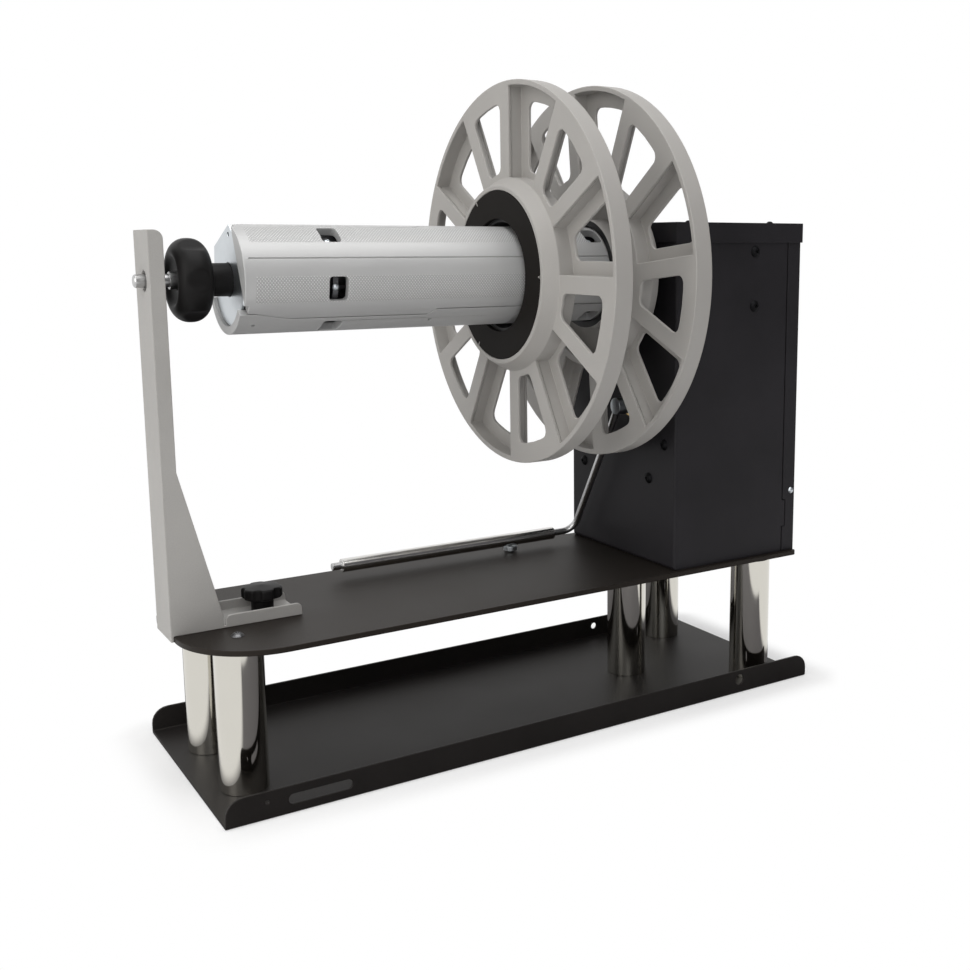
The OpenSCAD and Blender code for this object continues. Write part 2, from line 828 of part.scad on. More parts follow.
module bearing_ring(r, bore_r) {
  difference() {
    rod_x(0, bearing_w, r);
    rod_x(-over, bearing_w + over, bore_r);
    translate([bearing_w / 2, 0, 0]) rotate([0, 90, 0]) bearing_groove();
  }
}

module bearing_outer_rings() {
  color("lightgray") on_axis()
  for (x = bearing_x) translate([x, 0, 0])
    bearing_ring(bearing_d / 2, ball_pitch_r + ball_r - ring_land / 2);
}

module bearing_inner_rings() {
  color("lightgray") on_axis()
  for (x = bearing_x) translate([x, 0, 0])
    bearing_ring(ball_pitch_r - ball_r + ring_land / 2, shaft_d / 2 + running_gap);
}

module bearing_balls() {
  color("white") on_axis()
  for (x = bearing_x, i = [0:ball_count - 1])
    translate([x + bearing_w / 2, 0, 0]) rotate([i * 360 / ball_count, 0, 0])
      translate([0, ball_pitch_r, 0]) sphere(r = ball_r);
}

module bearing_spacer() {
  color("silver") on_axis()
    tube_x(bearing_x[0] + bearing_w, bearing_x[1], shaft_d / 2 + ring_land,
      shaft_d / 2 + running_gap);
}

// Motor, its bracket on four posts, and the belt drive
module motor_bracket() {
  w = 2 * (post_y + post_r + over);
  h = 2 * (post_z + post_r + over);
  color("silver")
  difference() {
    translate([motor_x1, motor_y, motor_z]) along_x() linear_extrude(bracket_t)
      polygon(rounded(rect([-w / 2, -h / 2], [w / 2, h / 2]), post_r));
    translate([0, motor_y, motor_z])
      rod_x(motor_x1 - over, motor_x1 + bracket_t + over, motor_boss_r + running_gap);
    post_places()
      rod_x(motor_x1 - over, motor_x1 + bracket_t + over,
        small_screw_d / 2 + screw_hole_gap);
    motor_bolts()
      rod_x(motor_x1 - over, motor_x1 + bracket_t + over,
        small_screw_d / 2 + screw_hole_gap);
  }
}

module motor_bolts() {
  bolt = motor_w * motor_bolt_share / 2;
  for (y = [-1, 1], z = [-1, 1])
    translate([0, motor_y + y * bolt, motor_z + z * bolt]) children();
}

module bracket_posts() {
  color("silver") post_places() {
    rod_x(frame_x1, motor_x1, post_r);
    rod_x(frame_x0 + over, frame_x1 + over, small_screw_d / 2);
    rod_x(motor_x1 - over, motor_x1 + bracket_t + over, small_screw_d / 2);
  }
}

module drive_motor() {
  chamfer = motor_w * (1 - motor_bolt_share) / 2;
  s = motor_w / 2;
  color("#26282b")
  difference() {
    translate([0, motor_y, motor_z]) {
      translate([motor_x1 - motor_l, 0, 0]) along_x() linear_extrude(motor_l)
        polygon([[-s + chamfer, -s], [s - chamfer, -s], [s, -s + chamfer], [s, s - chamfer],
          [s - chamfer, s], [-s + chamfer, s], [-s, s - chamfer], [-s, -s + chamfer]]);
      rod_x(motor_x1 - over, motor_x1 + motor_boss_h, motor_boss_r);
    }
    translate([0, motor_y, motor_z])
      rod_x(motor_x1 - motor_l / 2, motor_x1 + motor_boss_h + over, rotor_r + running_gap);
    motor_bolts() rod_x(motor_x1 - chamfer, motor_x1 + over, small_screw_d / 2 + running_gap);
  }
}

module motor_screws() {
  color("#1d1d1f") motor_bolts()
    translate([motor_x1 + bracket_t, 0, 0]) rotate([0, 90, 0])
      button_screw(small_screw_d, bracket_t + small_screw_d);
}

module motor_rotor() {
  color("silver") translate([0, motor_y, motor_z])
    rod_x(motor_x1 - motor_l / 2 + over, pulley_x0 + pulley_w, rotor_r);
}

// Pulley with two lips and a toothed track under the belt
tooth_share = 0.035;

module pulley(d, bore_r) {
  r = d / 2;
  teeth = round(1 / tooth_share);
  difference() {
    union() {
      rod_x(pulley_x0, pulley_x0 + pulley_w, r - free_gap);
      for (x = [pulley_x0, pulley_x0 + pulley_w - pulley_flange_t])
        rod_x(x, x + pulley_flange_t, r + pulley_lip);
    }
    rod_x(pulley_x0 - over, pulley_x0 + pulley_w + over, bore_r);
  }
}

module driven_pulley() {
  color("silver") on_axis() pulley(driven_d, shaft_d / 2 + running_gap);
}

module motor_pulley() {
  color("silver") translate([0, motor_y, motor_z]) pulley(driver_d, rotor_r + running_gap);
}

// Loop round two circles, the small one at the origin and the large one at c
function loop(c, r0, r1) =
  let (lean = atan2(c.y, c.x), open = acos((r0 - r1) / norm(c)))
  concat([for (i = [0:24]) let (a = lean + open + (360 - 2 * open) * i / 24)
      r0 * [cos(a), sin(a)]],
    [for (i = [0:24]) let (a = lean - open + 2 * open * i / 24)
      c + r1 * [cos(a), sin(a)]]);

module drive_belt() {
  c = [-motor_y, axis_z - motor_z];
  color("#1a1a1a") translate([belt_x0, motor_y, motor_z]) along_x() linear_extrude(belt_w)
    difference() {
      polygon(loop(c, driver_d / 2 + belt_t, driven_d / 2 + belt_t));
      polygon(loop(c, driver_d / 2, driven_d / 2));
    }
}

// Electronics: board on its bracket, supply, inlet, switch and the dancer's sensor
board_bracket_t = 2;
board_w = 62;
board_h = 72;
board_t = 1.6;
board_gap = 7;
board_inset = 5;
board_mid_h = (panel_screw_h[0] + panel_screw_h[1]) / 2;
board_x = plate_x1 - panel_screw_inset;
standoff_r = 3;
chip_h = 4;
chip_share = 0.3;

module board_places() {
  for (x = [-1, 1], z = [-1, 1])
    translate([board_x + x * (board_w / 2 - board_inset), 0,
      plate_top + board_mid_h + z * (board_h / 2 - board_inset)]) children();
}

module board_bracket() {
  y1 = -box_side + box_sheet;
  color("silver")
  difference() {
    translate([board_x - board_w / 2, y1, plate_top + board_mid_h - board_h / 2])
      cube([board_w, board_bracket_t, board_h]);
    for (z = panel_screw_h)
      translate([board_x, y1, plate_top + z]) along_front()
        cylinder(h = 4 * board_bracket_t, d = screw_d + 2 * running_gap, center = true);
  }
}

module board_standoffs() {
  y1 = -box_side + box_sheet + board_bracket_t;
  color("gold") board_places()
    translate([0, y1 + board_gap, 0]) along_front() cylinder(h = board_gap, r = standoff_r);
}

module control_board() {
  y1 = -box_side + box_sheet + board_bracket_t + board_gap;
  z0 = plate_top + board_mid_h;
  color("darkgreen") {
    translate([board_x - board_w / 2, y1, z0 - board_h / 2]) cube([board_w, board_t, board_h]);
    for (p = [[-1, 1], [1, 1], [0, -1]])
      translate([board_x + p[0] * board_w * chip_share - board_w * chip_share / 2, y1,
          z0 + p[1] * board_h * chip_share - board_h * chip_share / 2])
        cube([board_w * chip_share, board_t + chip_h, board_h * chip_share]);
  }
}

supply_l = 70;
supply_w = 62;
supply_h = 28;
supply_gap = 10;

module power_supply() {
  color("silver")
    translate([plate_x1 - box_sheet - inlet_depth - supply_gap - supply_l, -supply_w / 2,
        plate_top])
      cube([supply_l, supply_w, supply_h]);
}

module power_inlet() {
  color("#161616")
  difference() {
    union() {
      translate([plate_x1 - box_sheet - inlet_depth, -inlet_w / 2,
          plate_top + inlet_z - inlet_h / 2])
        cube([inlet_depth + box_sheet + over, inlet_w, inlet_h]);
      translate([plate_x1, -inlet_w / 2 - inlet_lip,
          plate_top + inlet_z - inlet_h / 2 - inlet_lip])
        cube([box_sheet, inlet_w + 2 * inlet_lip, inlet_h + 2 * inlet_lip]);
    }
    translate([plate_x1 - inlet_depth / 2, -inlet_w / 2 + 2 * over,
        plate_top + inlet_z - inlet_h / 2 + 2 * over])
      cube([inlet_depth, inlet_w - 4 * over, inlet_h - 4 * over]);
  }
}

module switch_body() {
  color("#161616")
  difference() {
    union() {
      translate([plate_x1 - box_sheet - switch_depth, -switch_w / 2,
          plate_top + switch_z - switch_h / 2])
        cube([switch_depth + box_sheet + over, switch_w, switch_h]);
      translate([plate_x1, -switch_w / 2 - over, plate_top + switch_z - switch_h / 2 - over])
        cube([box_sheet, switch_w + 2 * over, switch_h + 2 * over]);
    }
    translate([plate_x1 - switch_depth / 2, -rocker_w / 2 - 2 * free_gap,
        plate_top + switch_z - rocker_h / 2 - over])
      cube([switch_depth, rocker_w + 4 * free_gap, rocker_h + 2 * over]);
  }
}

// Rocker: pivots on its round belly, and its raised half shows which way it lies
module switch_rocker() {
  x0 = plate_x1 - rocker_t + box_sheet;
  color("firebrick")
    translate([0, rocker_w / 2, plate_top + switch_z]) along_front() {
      linear_extrude(rocker_w)
        polygon([[x0, -rocker_h / 2], [x0 + rocker_t, -rocker_h / 2], [x0 + rocker_t, 0],
          [x0 + rocker_t + rocker_rise, rocker_h / 2], [x0, rocker_h / 2]]);
      translate([plate_x1 - rocker_t / 2, 0]) cylinder(h = rocker_w, r = rocker_t / 2);
    }
}

bush_r = 7;
bush_flange_r = 9.5;
bush_flange_t = 1.5;
dancer_shaft_r = 4;
sensor_r = 12;
sensor_l = 20;
sensor_grip = 12;

module at_pivot() {
  translate([0, -pivot_y, plate_top + pivot_h]) children();
}

module dancer_bush() {
  color("darkgoldenrod") at_pivot()
  difference() {
    union() {
      rod_x(box_x0 - over / 2, frame_x1, bush_r);
      rod_x(box_x0 - bush_flange_t, box_x0, bush_flange_r);
    }
    rod_x(box_x0 - bush_flange_t - over, frame_x1 + over, dancer_shaft_r + running_gap);
  }
}

module angle_sensor() {
  color("#20242a") at_pivot()
    tube_x(frame_x1, frame_x1 + sensor_l, sensor_r, dancer_shaft_r + running_gap);
}

// Stop screw on the plate, just under the resting roller
stop_d = 6;
stop_inset = 211;
stop_gap = 0.3;
stop_head_h = 3.5;
roller_y = dancer_r * sin(dancer_tilt) - pivot_y;
roller_z = plate_top + pivot_h - dancer_r * cos(dancer_tilt);

module dancer_stop() {
  top = roller_z - roller_d / 2 - stop_gap;
  color("silver") translate([plate_x1 - stop_inset, roller_y, plate_top])
  difference() {
    union() {
      cylinder(h = top - plate_top, d = stop_d);
      translate([0, 0, top - plate_top - stop_head_h]) cylinder(h = stop_head_h, d = 2 * stop_d);
    }
    translate([0, 0, top - plate_top - stop_head_h / 2])
      cylinder(h = stop_head_h, d = stop_d * socket_share, $fn = 6);
  }
}

// Spindle shaft: bearing journal, threaded end under the knob and the outer pin
thread_x1 = knob_hub_x1 + draw_travel + over;

module spindle_shaft() {
  color("silver") on_axis() {
    rod_x(thread_x1, shaft_x1, shaft_d / 2);
    rod_x(knob_x0 - over, thread_x1 + over, thread_d / 2);
    rod_x(pin_x0 + over, knob_x0, pin_d / 2);
    translate([pin_x0, 0, 0]) along_x() cylinder(h = over, r1 = pin_d / 2 - over, r2 = pin_d / 2);
  }
}

// Core body: two guide discs joined by a rail under each seam of the jaws
module core_body() {
  color("#a9b4bb") on_axis()
  difference() {
    union() {
      for (x = [left_disc_x, right_disc_x])
        rod_x(x - disc_t / 2, x + disc_t / 2, disc_r);
      for (i = [0:jaw_count - 1]) rotate([-(jaw_angle + jaw_step * (i + 1 / 2)), 0, 0])
        translate([end_plate_x1, -disc_r, -rail_w / 2])
          cube([core_x1 - end_plate_x1, disc_r - rail_r0, rail_w]);
    }
    rod_x(end_plate_x1 - over, core_x1 + over, sleeve_outer_r + free_gap);
    for (x = [left_disc_x, right_disc_x]) guide_places(x)
      cylinder(h = disc_r, d = small_screw_d + 2 * running_gap);
  }
}

// Places of the radial screws behind the jaws' windows, pointing outwards
module guide_places(x) {
  for (i = [0:jaw_count - 1], side = [-1, 1])
    rotate([90 - (jaw_angle + jaw_step * i + side * window_offset), 0, 0])
      translate([x, 0, sleeve_outer_r + 2 * over]) children();
}

module guide_screws() {
  l = disc_r - sleeve_outer_r - 2 * over;
  color("silver") on_axis()
  for (x = [left_disc_x, right_disc_x]) guide_places(x)
    translate([0, 0, l]) button_screw(small_screw_d, l - over);
}

// End plate: a hexagon in front of the rear jaw, beside the front jaw's end wall and inside
// the lower jaw's lip
module end_plate() {
  x0 = end_plate_x1 - end_plate_t;
  lip_r = jaw_r0 - free_gap;
  small_hole_d = 3.5;
  color("#b9c4cc") on_axis()
  difference() {
    translate([x0, 0, 0]) along_x() linear_extrude(end_plate_t)
      difference() {
        polygon([for (i = [0:2 * jaw_count - 1])
          let (a = 180 - jaw_angle - i * jaw_step / 2) core_r * [cos(a), sin(a)]]);
        rotate(-jaw_angle) translate([-2 * core_r - end_chord_r + free_gap, -core_r])
          square(2 * core_r);
      }
    rod_x(x0 - over, end_plate_x1 + over, knob_hub_d / 2 + free_gap);
    intersection() {
      tube_x(x0 - over, end_plate_x1 + over, core_r + over, lip_r);
      translate([x0 - over, 0, 0]) along_x() linear_extrude(end_plate_t + 2 * over)
        jaw_sector(jaw_angle - jaw_step, jaw_step / 2 + tongue_angle);
    }
    rotate([-jaw_angle - jaw_step / 2, 0, 0]) translate([0, -core_r + 2 * small_hole_d, 0])
      rod_x(x0 - over, end_plate_x1 + over, small_hole_d / 2);
  }
}

// Wedge of the plane seen from the left, about an angle from the front towards the top
module jaw_sector(angle, half) {
  reach = 2 * core_r;
  polygon(concat([[0, 0]], arc(reach, 180 - angle + half, 180 - angle - half, 6)));
}

// Outline of a T-shaped wedge rail on the draw sleeve, in the plane through the axis
function ramp(x) = wedge_r1 - wedge_slope * x;

module wedge_strip(x0, x1, top, depth, w) {
  translate([0, 0, w / 2]) rotate([0, 180, 0]) mirror([1, 0, 0]) linear_extrude(w)
    polygon([[x0, -ramp(x0) - top], [x1, -ramp(x1) - top], [x1, -ramp(x1) - top + depth],
      [x0, -ramp(x0) - top + depth]]);
}

module wedge_rail() {
  wedge_strip(0, wedge_l, 0, wedge_head_t, wedge_head_w);
  translate([0, 0, -wedge_neck_w / 2]) linear_extrude(wedge_neck_w)
    polygon([[0, -ramp(0)], [wedge_l, -ramp(wedge_l)],
      [wedge_l, -sleeve_outer_r + over], [0, -sleeve_outer_r + over]]);
}

module draw_sleeve() {
  color("slategray") on_axis() {
    tube_x(knob_hub_x1 + free_gap, right_disc_x + disc_t, sleeve_outer_r, sleeve_r);
    for (x = [left_wedge_x, right_wedge_x], i = [0:jaw_count - 1])
      rotate([-(jaw_angle + jaw_step * i), 0, 0]) translate([x, 0, 0]) wedge_rail();
  }
}

// Jaw foot: a block under the wall that hooks round the wedge rail
module jaw_foot(x) {
  x0 = foot_inset;
  x1 = wedge_l - foot_inset;
  depth = wedge_head_t + 2 * free_gap;
  translate([x, 0, 0])
  difference() {
    translate([0, 0, -foot_w / 2]) linear_extrude(foot_w)
      polygon([[x0, -jaw_r0 - over], [x1, -jaw_r0 - over],
        [x1, -ramp(x1) + wedge_head_t + foot_hook], [x0, -ramp(x0) + wedge_head_t + foot_hook]]);
    wedge_strip(-over, wedge_l + over, free_gap, depth, wedge_head_w + 2 * free_gap);
    translate([0, 0, -wedge_neck_w / 2 - free_gap]) linear_extrude(wedge_neck_w + 2 * free_gap)
      polygon([[-over, -ramp(-over)], [wedge_l + over, -ramp(wedge_l + over)],
        [wedge_l + over, 0], [-over, 0]]);
  }
}

// Stretch of the jaw's wall between two angles about its middle line
module jaw_wall_part(x0, x1, from, to) {
  gap = asin(seam_gap / 2 / core_r);
  translate([x0, 0, 0]) along_x() linear_extrude(x1 - x0)
    intersection() {
      difference() {
        circle(r = core_r);
        circle(r = jaw_r0);
      }
      polygon(concat([[0, 0]], arc(2 * core_r, 180 - from - gap, 180 - to + gap, 8)));
    }
}

module jaw_window(x, angle) {
  w = 2 * core_r * sin(window_angle / 2);
  rotate([90 - angle, 0, 0]) translate([x, 0, core_r])
    linear_extrude(3 * jaw_wall, center = true)
      polygon(rounded(rect([-window_l / 2, -w / 2], [window_l / 2, w / 2]), window_l / 5));
}

// Wall that closes the front jaw's left end outside a straight chord
module jaw_end_wall() {
  translate([core_x0 - front_lip, 0, 0]) along_x() linear_extrude(front_lip + over)
    intersection() {
      circle(r = core_r);
      translate([-2 * core_r - end_chord_r, -core_r]) square(2 * core_r);
    }
}

// One jaw about the direction of the front: wall with tongue and notch, windows and feet
module jaw(lip = 0) {
  half = jaw_step / 2;
  tongue_x = core_x0 + tongue_x0;
  difference() {
    union() {
      jaw_wall_part(core_x0 - lip, tongue_x, -half, half);
      jaw_wall_part(tongue_x, tongue_x + tongue_l, -half - tongue_angle, half - tongue_angle);
      jaw_wall_part(tongue_x + tongue_l, core_x1, -half, half);
      jaw_foot(left_wedge_x);
      jaw_foot(right_wedge_x);
    }
    translate([core_x0 - lip - over, -core_r - over, -groove_w / 2])
      cube([core_l + lip + 2 * over, groove_depth + over, groove_w]);
    for (side = [-1, 1]) {
      jaw_window(left_disc_x, side * window_offset);
      jaw_window(right_disc_x, side * window_offset);
    }
  }
}

module jaw_front() {
  color("silver") on_axis(jaw_angle) {
    jaw();
    jaw_end_wall();
  }
}

// The lower jaw has two holes for set screws under its front seam
module jaw_lower() {
  color("silver") on_axis(jaw_angle - jaw_step)
  difference() {
    jaw(lower_lip);
    for (x = [core_x0 + pin_hole_inset, core_x0 + pin_hole_inset + pin_hole_step])
      rotate([90 - pin_hole_angle, 0, 0]) translate([x, 0, jaw_r0 - over])
        cylinder(h = jaw_wall + 2 * over, r = pin_hole_r);
  }
}

module jaw_rear() {
  color("silver") on_axis(jaw_angle + jaw_step) jaw(-rear_inset);
}

// Flange carrier: a flanged hub on the shaft, behind the inner flange
carrier_r = 62;
carrier_t = 4;
carrier_nose_r = 30;
carrier_boss_r = 12;
carrier_gap = 0.3;
carrier_pcd = 110;

module flange_carrier() {
  x0 = inner_hub_x;
  color("silver") on_axis()
  difference() {
    union() {
      rod_x(core_x1 + free_gap, x0 + carrier_t, carrier_nose_r);
      rod_x(x0, x0 + carrier_t, carrier_r);
      rod_x(x0, bearing_x[0], carrier_boss_r);
    }
    rod_x(core_x1 - over, bearing_x[0] + over, shaft_d / 2 + running_gap);
    carrier_bolts(x0 - over, x0 + carrier_t + over, small_screw_d / 2 + screw_hole_gap);
  }
}

module carrier_bolts(x0, x1, r) {
  for (i = [0:jaw_count - 1]) rotate([i * jaw_step + jaw_step / 4, 0, 0])
    translate([0, carrier_pcd / 2, 0]) rod_x(x0, x1, r);
}

module carrier_screws() {
  color("#1d1d1f") on_axis()
  for (i = [0:jaw_count - 1]) rotate([i * jaw_step + jaw_step / 4, 0, 0])
    translate([inner_hub_x + carrier_t, carrier_pcd / 2, 0])
      rotate([0, 90, 0]) button_screw(small_screw_d, carrier_t + ring_t + flange_t / 2);
}

// Flange: twelve sectors whose faces lie by turns in the front and in the back plane. A
// collar at the back of its bore rests on the jaws, which grip it when they open
sector = 30;
sector_count = 12;
hub_wall = 3;
ring_gap = 0.4;
collar_gap = 0.2;
collar_w = 6;
wall_cover = 0.3;
key_w = 1.5;
key_l = 3;

// Wedge of one sector, wide enough to cover the radial walls at its sides
module sector_wedge(mid) {
  reach = flange_d / 2 + 2 * rim_t;
  rotate(mid) translate([-(flange_t / 2 + wall_cover) / sin(sector / 2), 0])
    polygon([[0, 0], reach * [cos(sector / 2), -sin(sector / 2)],
      [reach / cos(sector / 2), 0], reach * [cos(sector / 2), sin(sector / 2)]]);
}

// Window of a sector: arcs at both ends and sides parallel to the radial walls
module sector_hole(mid) {
  r1 = flange_d / 2 - rim_band;
  b0 = sector / 2 - asin(rib_w / hole_r0);
  b1 = sector / 2 - asin(rib_w / r1);
  rotate(mid)
    polygon(rounded(concat(arc(r1, -b1, b1, 4), arc(hole_r0, b0, -b0, 2)),
      [hole_corner_r, 0, 0, 0, hole_corner_r, hole_corner_r, 0, hole_corner_r]));
}

module face_sectors(first) {
  difference() {
    intersection() {
      difference() {
        circle(d = flange_d - rim_t);
        circle(d = hub_face_d);
      }
      union() {
        for (i = [first:2:sector_count - 1]) sector_wedge(i * sector - sector / 2);
      }
    }
    for (i = [first:2:sector_count - 1]) sector_hole(i * sector - sector / 2);
  }
}

// Keys of the flange that locate the dark ring, or with a gap the slots for them
module ring_keys(gap, x0, x1, r1) {
  r0 = ring_d / 2 - key_l - gap;
  for (i = [0:jaw_count - 1]) rotate([i * jaw_step, 0, 0])
    translate([x0, -r1, -key_w / 2 - gap]) cube([x1 - x0, r1 - r0, key_w + 2 * gap]);
}

module flange() {
  r = flange_d / 2;
  wall_r0 = hub_face_d / 2;
  seat_x = -hub_rise + ring_t + ring_gap / 2;
  difference() {
    union() {
      tube_x(0, flange_w, r, r - rim_t);
      along_x() linear_extrude(flange_t) face_sectors(1);
      translate([flange_w - flange_t, 0, 0]) along_x() linear_extrude(flange_t) face_sectors(0);
      for (i = [0:sector_count - 1]) rotate([i * sector, 0, 0])
        translate([flange_t / 2, wall_r0, -flange_t / 2])
          cube([flange_w - flange_t, r - rim_t / 2 - wall_r0, flange_t]);
      translate([-hub_rise, 0, 0]) along_x()
        cylinder(h = hub_rise, d1 = hub_face_d, d2 = hub_foot_d);
      rod_x(0, flange_w, hub_foot_d / 2);
    }
    rod_x(-hub_rise - over, flange_w + over, core_r + jaw_travel + collar_gap);
    rod_x(-hub_rise - over, flange_w - collar_w, flange_bore / 2);
    rod_x(-hub_rise - over, seat_x, ring_d / 2 + ring_gap);
    tube_x(seat_x + hub_wall, flange_w + over, hub_foot_d / 2 - 2 * hub_wall,
      flange_bore / 2 + hub_wall);
  }
}

// Dark ring in the hub's face, slotted for the flange's three keys
module hub_ring() {
  difference() {
    tube_x(-hub_rise, -hub_rise + ring_t, ring_d / 2, ring_bore / 2);
    ring_keys(ring_gap / 2, -hub_rise - over, -hub_rise + ring_t + over, ring_d / 2 + over);
  }
}

module outer_flange() {
  color("#c9c7c2") on_axis() translate([outer_front_x, 0, 0]) {
    flange();
    ring_keys(0, -hub_rise + ring_gap / 4, -hub_rise + ring_t + over,
      ring_d / 2 + ring_gap + over);
  }
}

module outer_ring() {
  color("#1c1c1e") on_axis() translate([outer_front_x, 0, 0]) hub_ring();
}

module inner_flange() {
  color("#c9c7c2") on_axis()
  difference() {
    translate([inner_front_x, 0, 0]) rotate([-inner_turn, 0, 0]) rotate([0, 0, 180]) flange();
    carrier_bolts(inner_hub_x - ring_t - hub_wall - over, inner_hub_x,
      small_screw_d / 2 + running_gap);
  }
}

module inner_ring() {
  color("#1c1c1e") on_axis() translate([inner_front_x, 0, 0])
  difference() {
    tube_x(hub_rise - ring_t, hub_rise, ring_d / 2, ring_bore / 2);
    carrier_bolts(hub_rise - ring_t - over, hub_rise + over,
      small_screw_d / 2 + screw_hole_gap);
  }
}

// Hand knob: fat rounded lobes, a dished face and a bore on the shaft's thread
dish_r = 14;
dish_depth = 4;
knob_edge_r = 11;
flute_r = 16;

module knob_profile() {
  bore_r = thread_d / 2 + running_gap;
  r = knob_d / 2;
  polygon(rounded([[bore_r, 0], [r, 0], [r, knob_w], [dish_r + dish_depth, knob_w],
    [dish_r, knob_w - dish_depth], [bore_r, knob_w - dish_depth]],
    [0, knob_edge_r, knob_edge_r, dish_depth / 2, dish_depth, 0], 10));
}

module hand_knob() {
  color("#17171a") on_axis() translate([knob_x1, 0, 0]) rotate([0, -90, 0])
  difference() {
    rotate_extrude() knob_profile();
    for (i = [0:knob_lobes - 1])
      rotate([0, 0, 90 + i * 360 / knob_lobes])
        translate([knob_d / 2 - knob_flute + flute_r, 0, -over])
          cylinder(h = knob_w + 2 * over, r = flute_r);
  }
}

module knob_hub() {
  color("#17171a") on_axis()
    tube_x(knob_x1, knob_hub_x1, knob_hub_d / 2, thread_d / 2 + running_gap);
}

// Support arm: folded sheet with a tall web, two tapering side flanges and a slotted foot
lip_gap = 1.5;
lip_corner_r = 4;
arm_corner_r = 6;
dish_d = 25;
dish_drop = 0.8;
slot_reach = 12;

module gusset_outline() {
  x0 = plate_x0 - arm_sheet;
  z0 = plate_top + arm_sheet;
  polygon(rounded([[x0, z0], [x0 + arm_foot_depth, z0], [x0 + arm_foot_depth, z0 + lip_h - arm_sheet],
    [x0 + arm_depth, plate_top + arm_kink_h], [x0 + arm_depth, plate_top + arm_h],
    [x0, plate_top + arm_h]], [0, 0, 0, 0, arm_corner_r, 0]));
}

module lip_outline() {
  x0 = plate_x0 - arm_sheet + arm_foot_depth + lip_gap;
  x1 = plate_x0 - arm_sheet + foot_l;
  polygon(rounded(rect([x0, plate_top], [x1, plate_top + lip_h]),
    [0, lip_corner_r / 2, lip_corner_r, lip_corner_r]));
}

module support_arm() {
  x0 = plate_x0 - arm_sheet;
  s = arm_w / 2;
  slot_r = stud_d / 2 + 2 * screw_hole_gap;
  slot_x0 = plate_x0 + clamp_inset - slot_reach;
  color("#b7b5b0")
  difference() {
    union() {
      translate([x0, -s, plate_z]) cube([arm_sheet, arm_w, plate_top + arm_h - plate_z]);
      for (y = [-s + arm_sheet, s])
        translate([0, y, 0]) along_front() linear_extrude(arm_sheet) {
          gusset_outline();
          lip_outline();
        }
      translate([x0, -s, plate_top]) cube([foot_l, arm_w, arm_sheet]);
      on_axis() translate([plate_x0 - over / 2, 0, 0]) along_x()
        cylinder(h = dish_drop + over / 2, d1 = dish_d, d2 = arm_hole_d + 2 * arm_sheet);
    }
    on_axis() {
      rod_x(x0 - over, plate_x0 + dish_drop + over, arm_hole_d / 2);
      translate([x0, 0, 0]) along_x()
        cylinder(h = dish_drop, d1 = dish_d - 2 * dish_drop, d2 = arm_hole_d);
    }
    translate([slot_x0, 0, plate_top - over]) {
      cylinder(h = arm_sheet + 2 * over, r = slot_r);
      translate([0, -slot_r, 0]) cube([foot_l, 2 * slot_r, arm_sheet + 2 * over]);
    }
  }
}

// Clamp knob: lobed head on a stud that threads into the plate through the foot's slot
clamp_hub_d = 16;
clamp_hub_h = 8;
clamp_lobes = 6;
clamp_flute_r = 5;
clamp_flute = 2.5;
clamp_dome = 2;

module clamp_knob() {
  z0 = plate_top + arm_sheet;
  r = clamp_d / 2;
  color("#17171a") translate([plate_x0 + clamp_inset, 0, z0])
  difference() {
    union() {
      cylinder(h = clamp_hub_h + over, d = clamp_hub_d);
      translate([0, 0, clamp_hub_h])
        rotate_extrude()
          polygon(rounded([[0, 0], [r, 0], [r, clamp_h - clamp_dome], [0, clamp_h]],
            [0, clamp_dome, clamp_dome, 0]));
    }
    for (i = [0:clamp_lobes - 1]) rotate([0, 0, i * 360 / clamp_lobes])
      translate([r - clamp_flute + clamp_flute_r, 0, clamp_hub_h - over])
        cylinder(h = clamp_h + 2 * over, r = clamp_flute_r);
    translate([0, 0, -over])
      cylinder(h = clamp_hub_h + over + clamp_h / 2, d = stud_d + 2 * running_gap);
  }
}

module clamp_stud() {
  z0 = plate_z - stud_reach;
  color("silver") translate([plate_x0 + clamp_inset, 0, z0])
    cylinder(h = plate_top + arm_sheet + clamp_hub_h + clamp_h / 2 - z0 - over, d = stud_d);
}

stud_reach = 6;

// Dancer: a rod bent at a right angle, its roller and the hub on the sensor's shaft
hub_r = 7;
hub_w = 14.2;
hub_clear = 0.5;
rod_end = 8;
roller_inset = 22.8;
tube_wall = 1.5;

dancer_x1 = box_x0 - bush_flange_t - hub_clear;
dancer_x0 = dancer_x1 - hub_w;
arm_x = dancer_x0 + rod_d / 2;
roller_x1 = arm_x - roller_inset;
roller_x0 = roller_x1 - roller_l;

module at_roller() {
  translate([arm_x, roller_y, roller_z]) rotate([dancer_tilt, 0, 0]) children();
}

module dancer_rod() {
  r = rod_d / 2;
  color("silver") {
    at_roller() {
      rod_x(roller_x0 - rod_end - arm_x, -bend_r, r);
      translate([-bend_r, 0, bend_r]) along_front() rotate([0, 0, -90])
        rotate_extrude(angle = 90) translate([bend_r, 0]) circle(r = r);
      translate([0, 0, bend_r]) cylinder(h = dancer_r - bend_r - hub_r / 2, r = r);
    }
  }
}

module dancer_hub() {
  color("silver") at_pivot()
  difference() {
    union() {
      rod_x(dancer_x0 - free_gap, dancer_x1, hub_r);
      rod_x(dancer_x0, frame_x1 + sensor_grip, dancer_shaft_r);
    }
    rotate([dancer_tilt, 0, 0]) translate([arm_x, 0, -2 * hub_r])
      cylinder(h = 2 * hub_r - hub_r / 2 + over / 2, r = rod_d / 2 + running_gap);
  }
}

module dancer_roller() {
  color("lightgray") translate([0, roller_y, roller_z])
    tube_x(roller_x0, roller_x1, roller_d / 2, rod_d / 2 + running_gap);
}

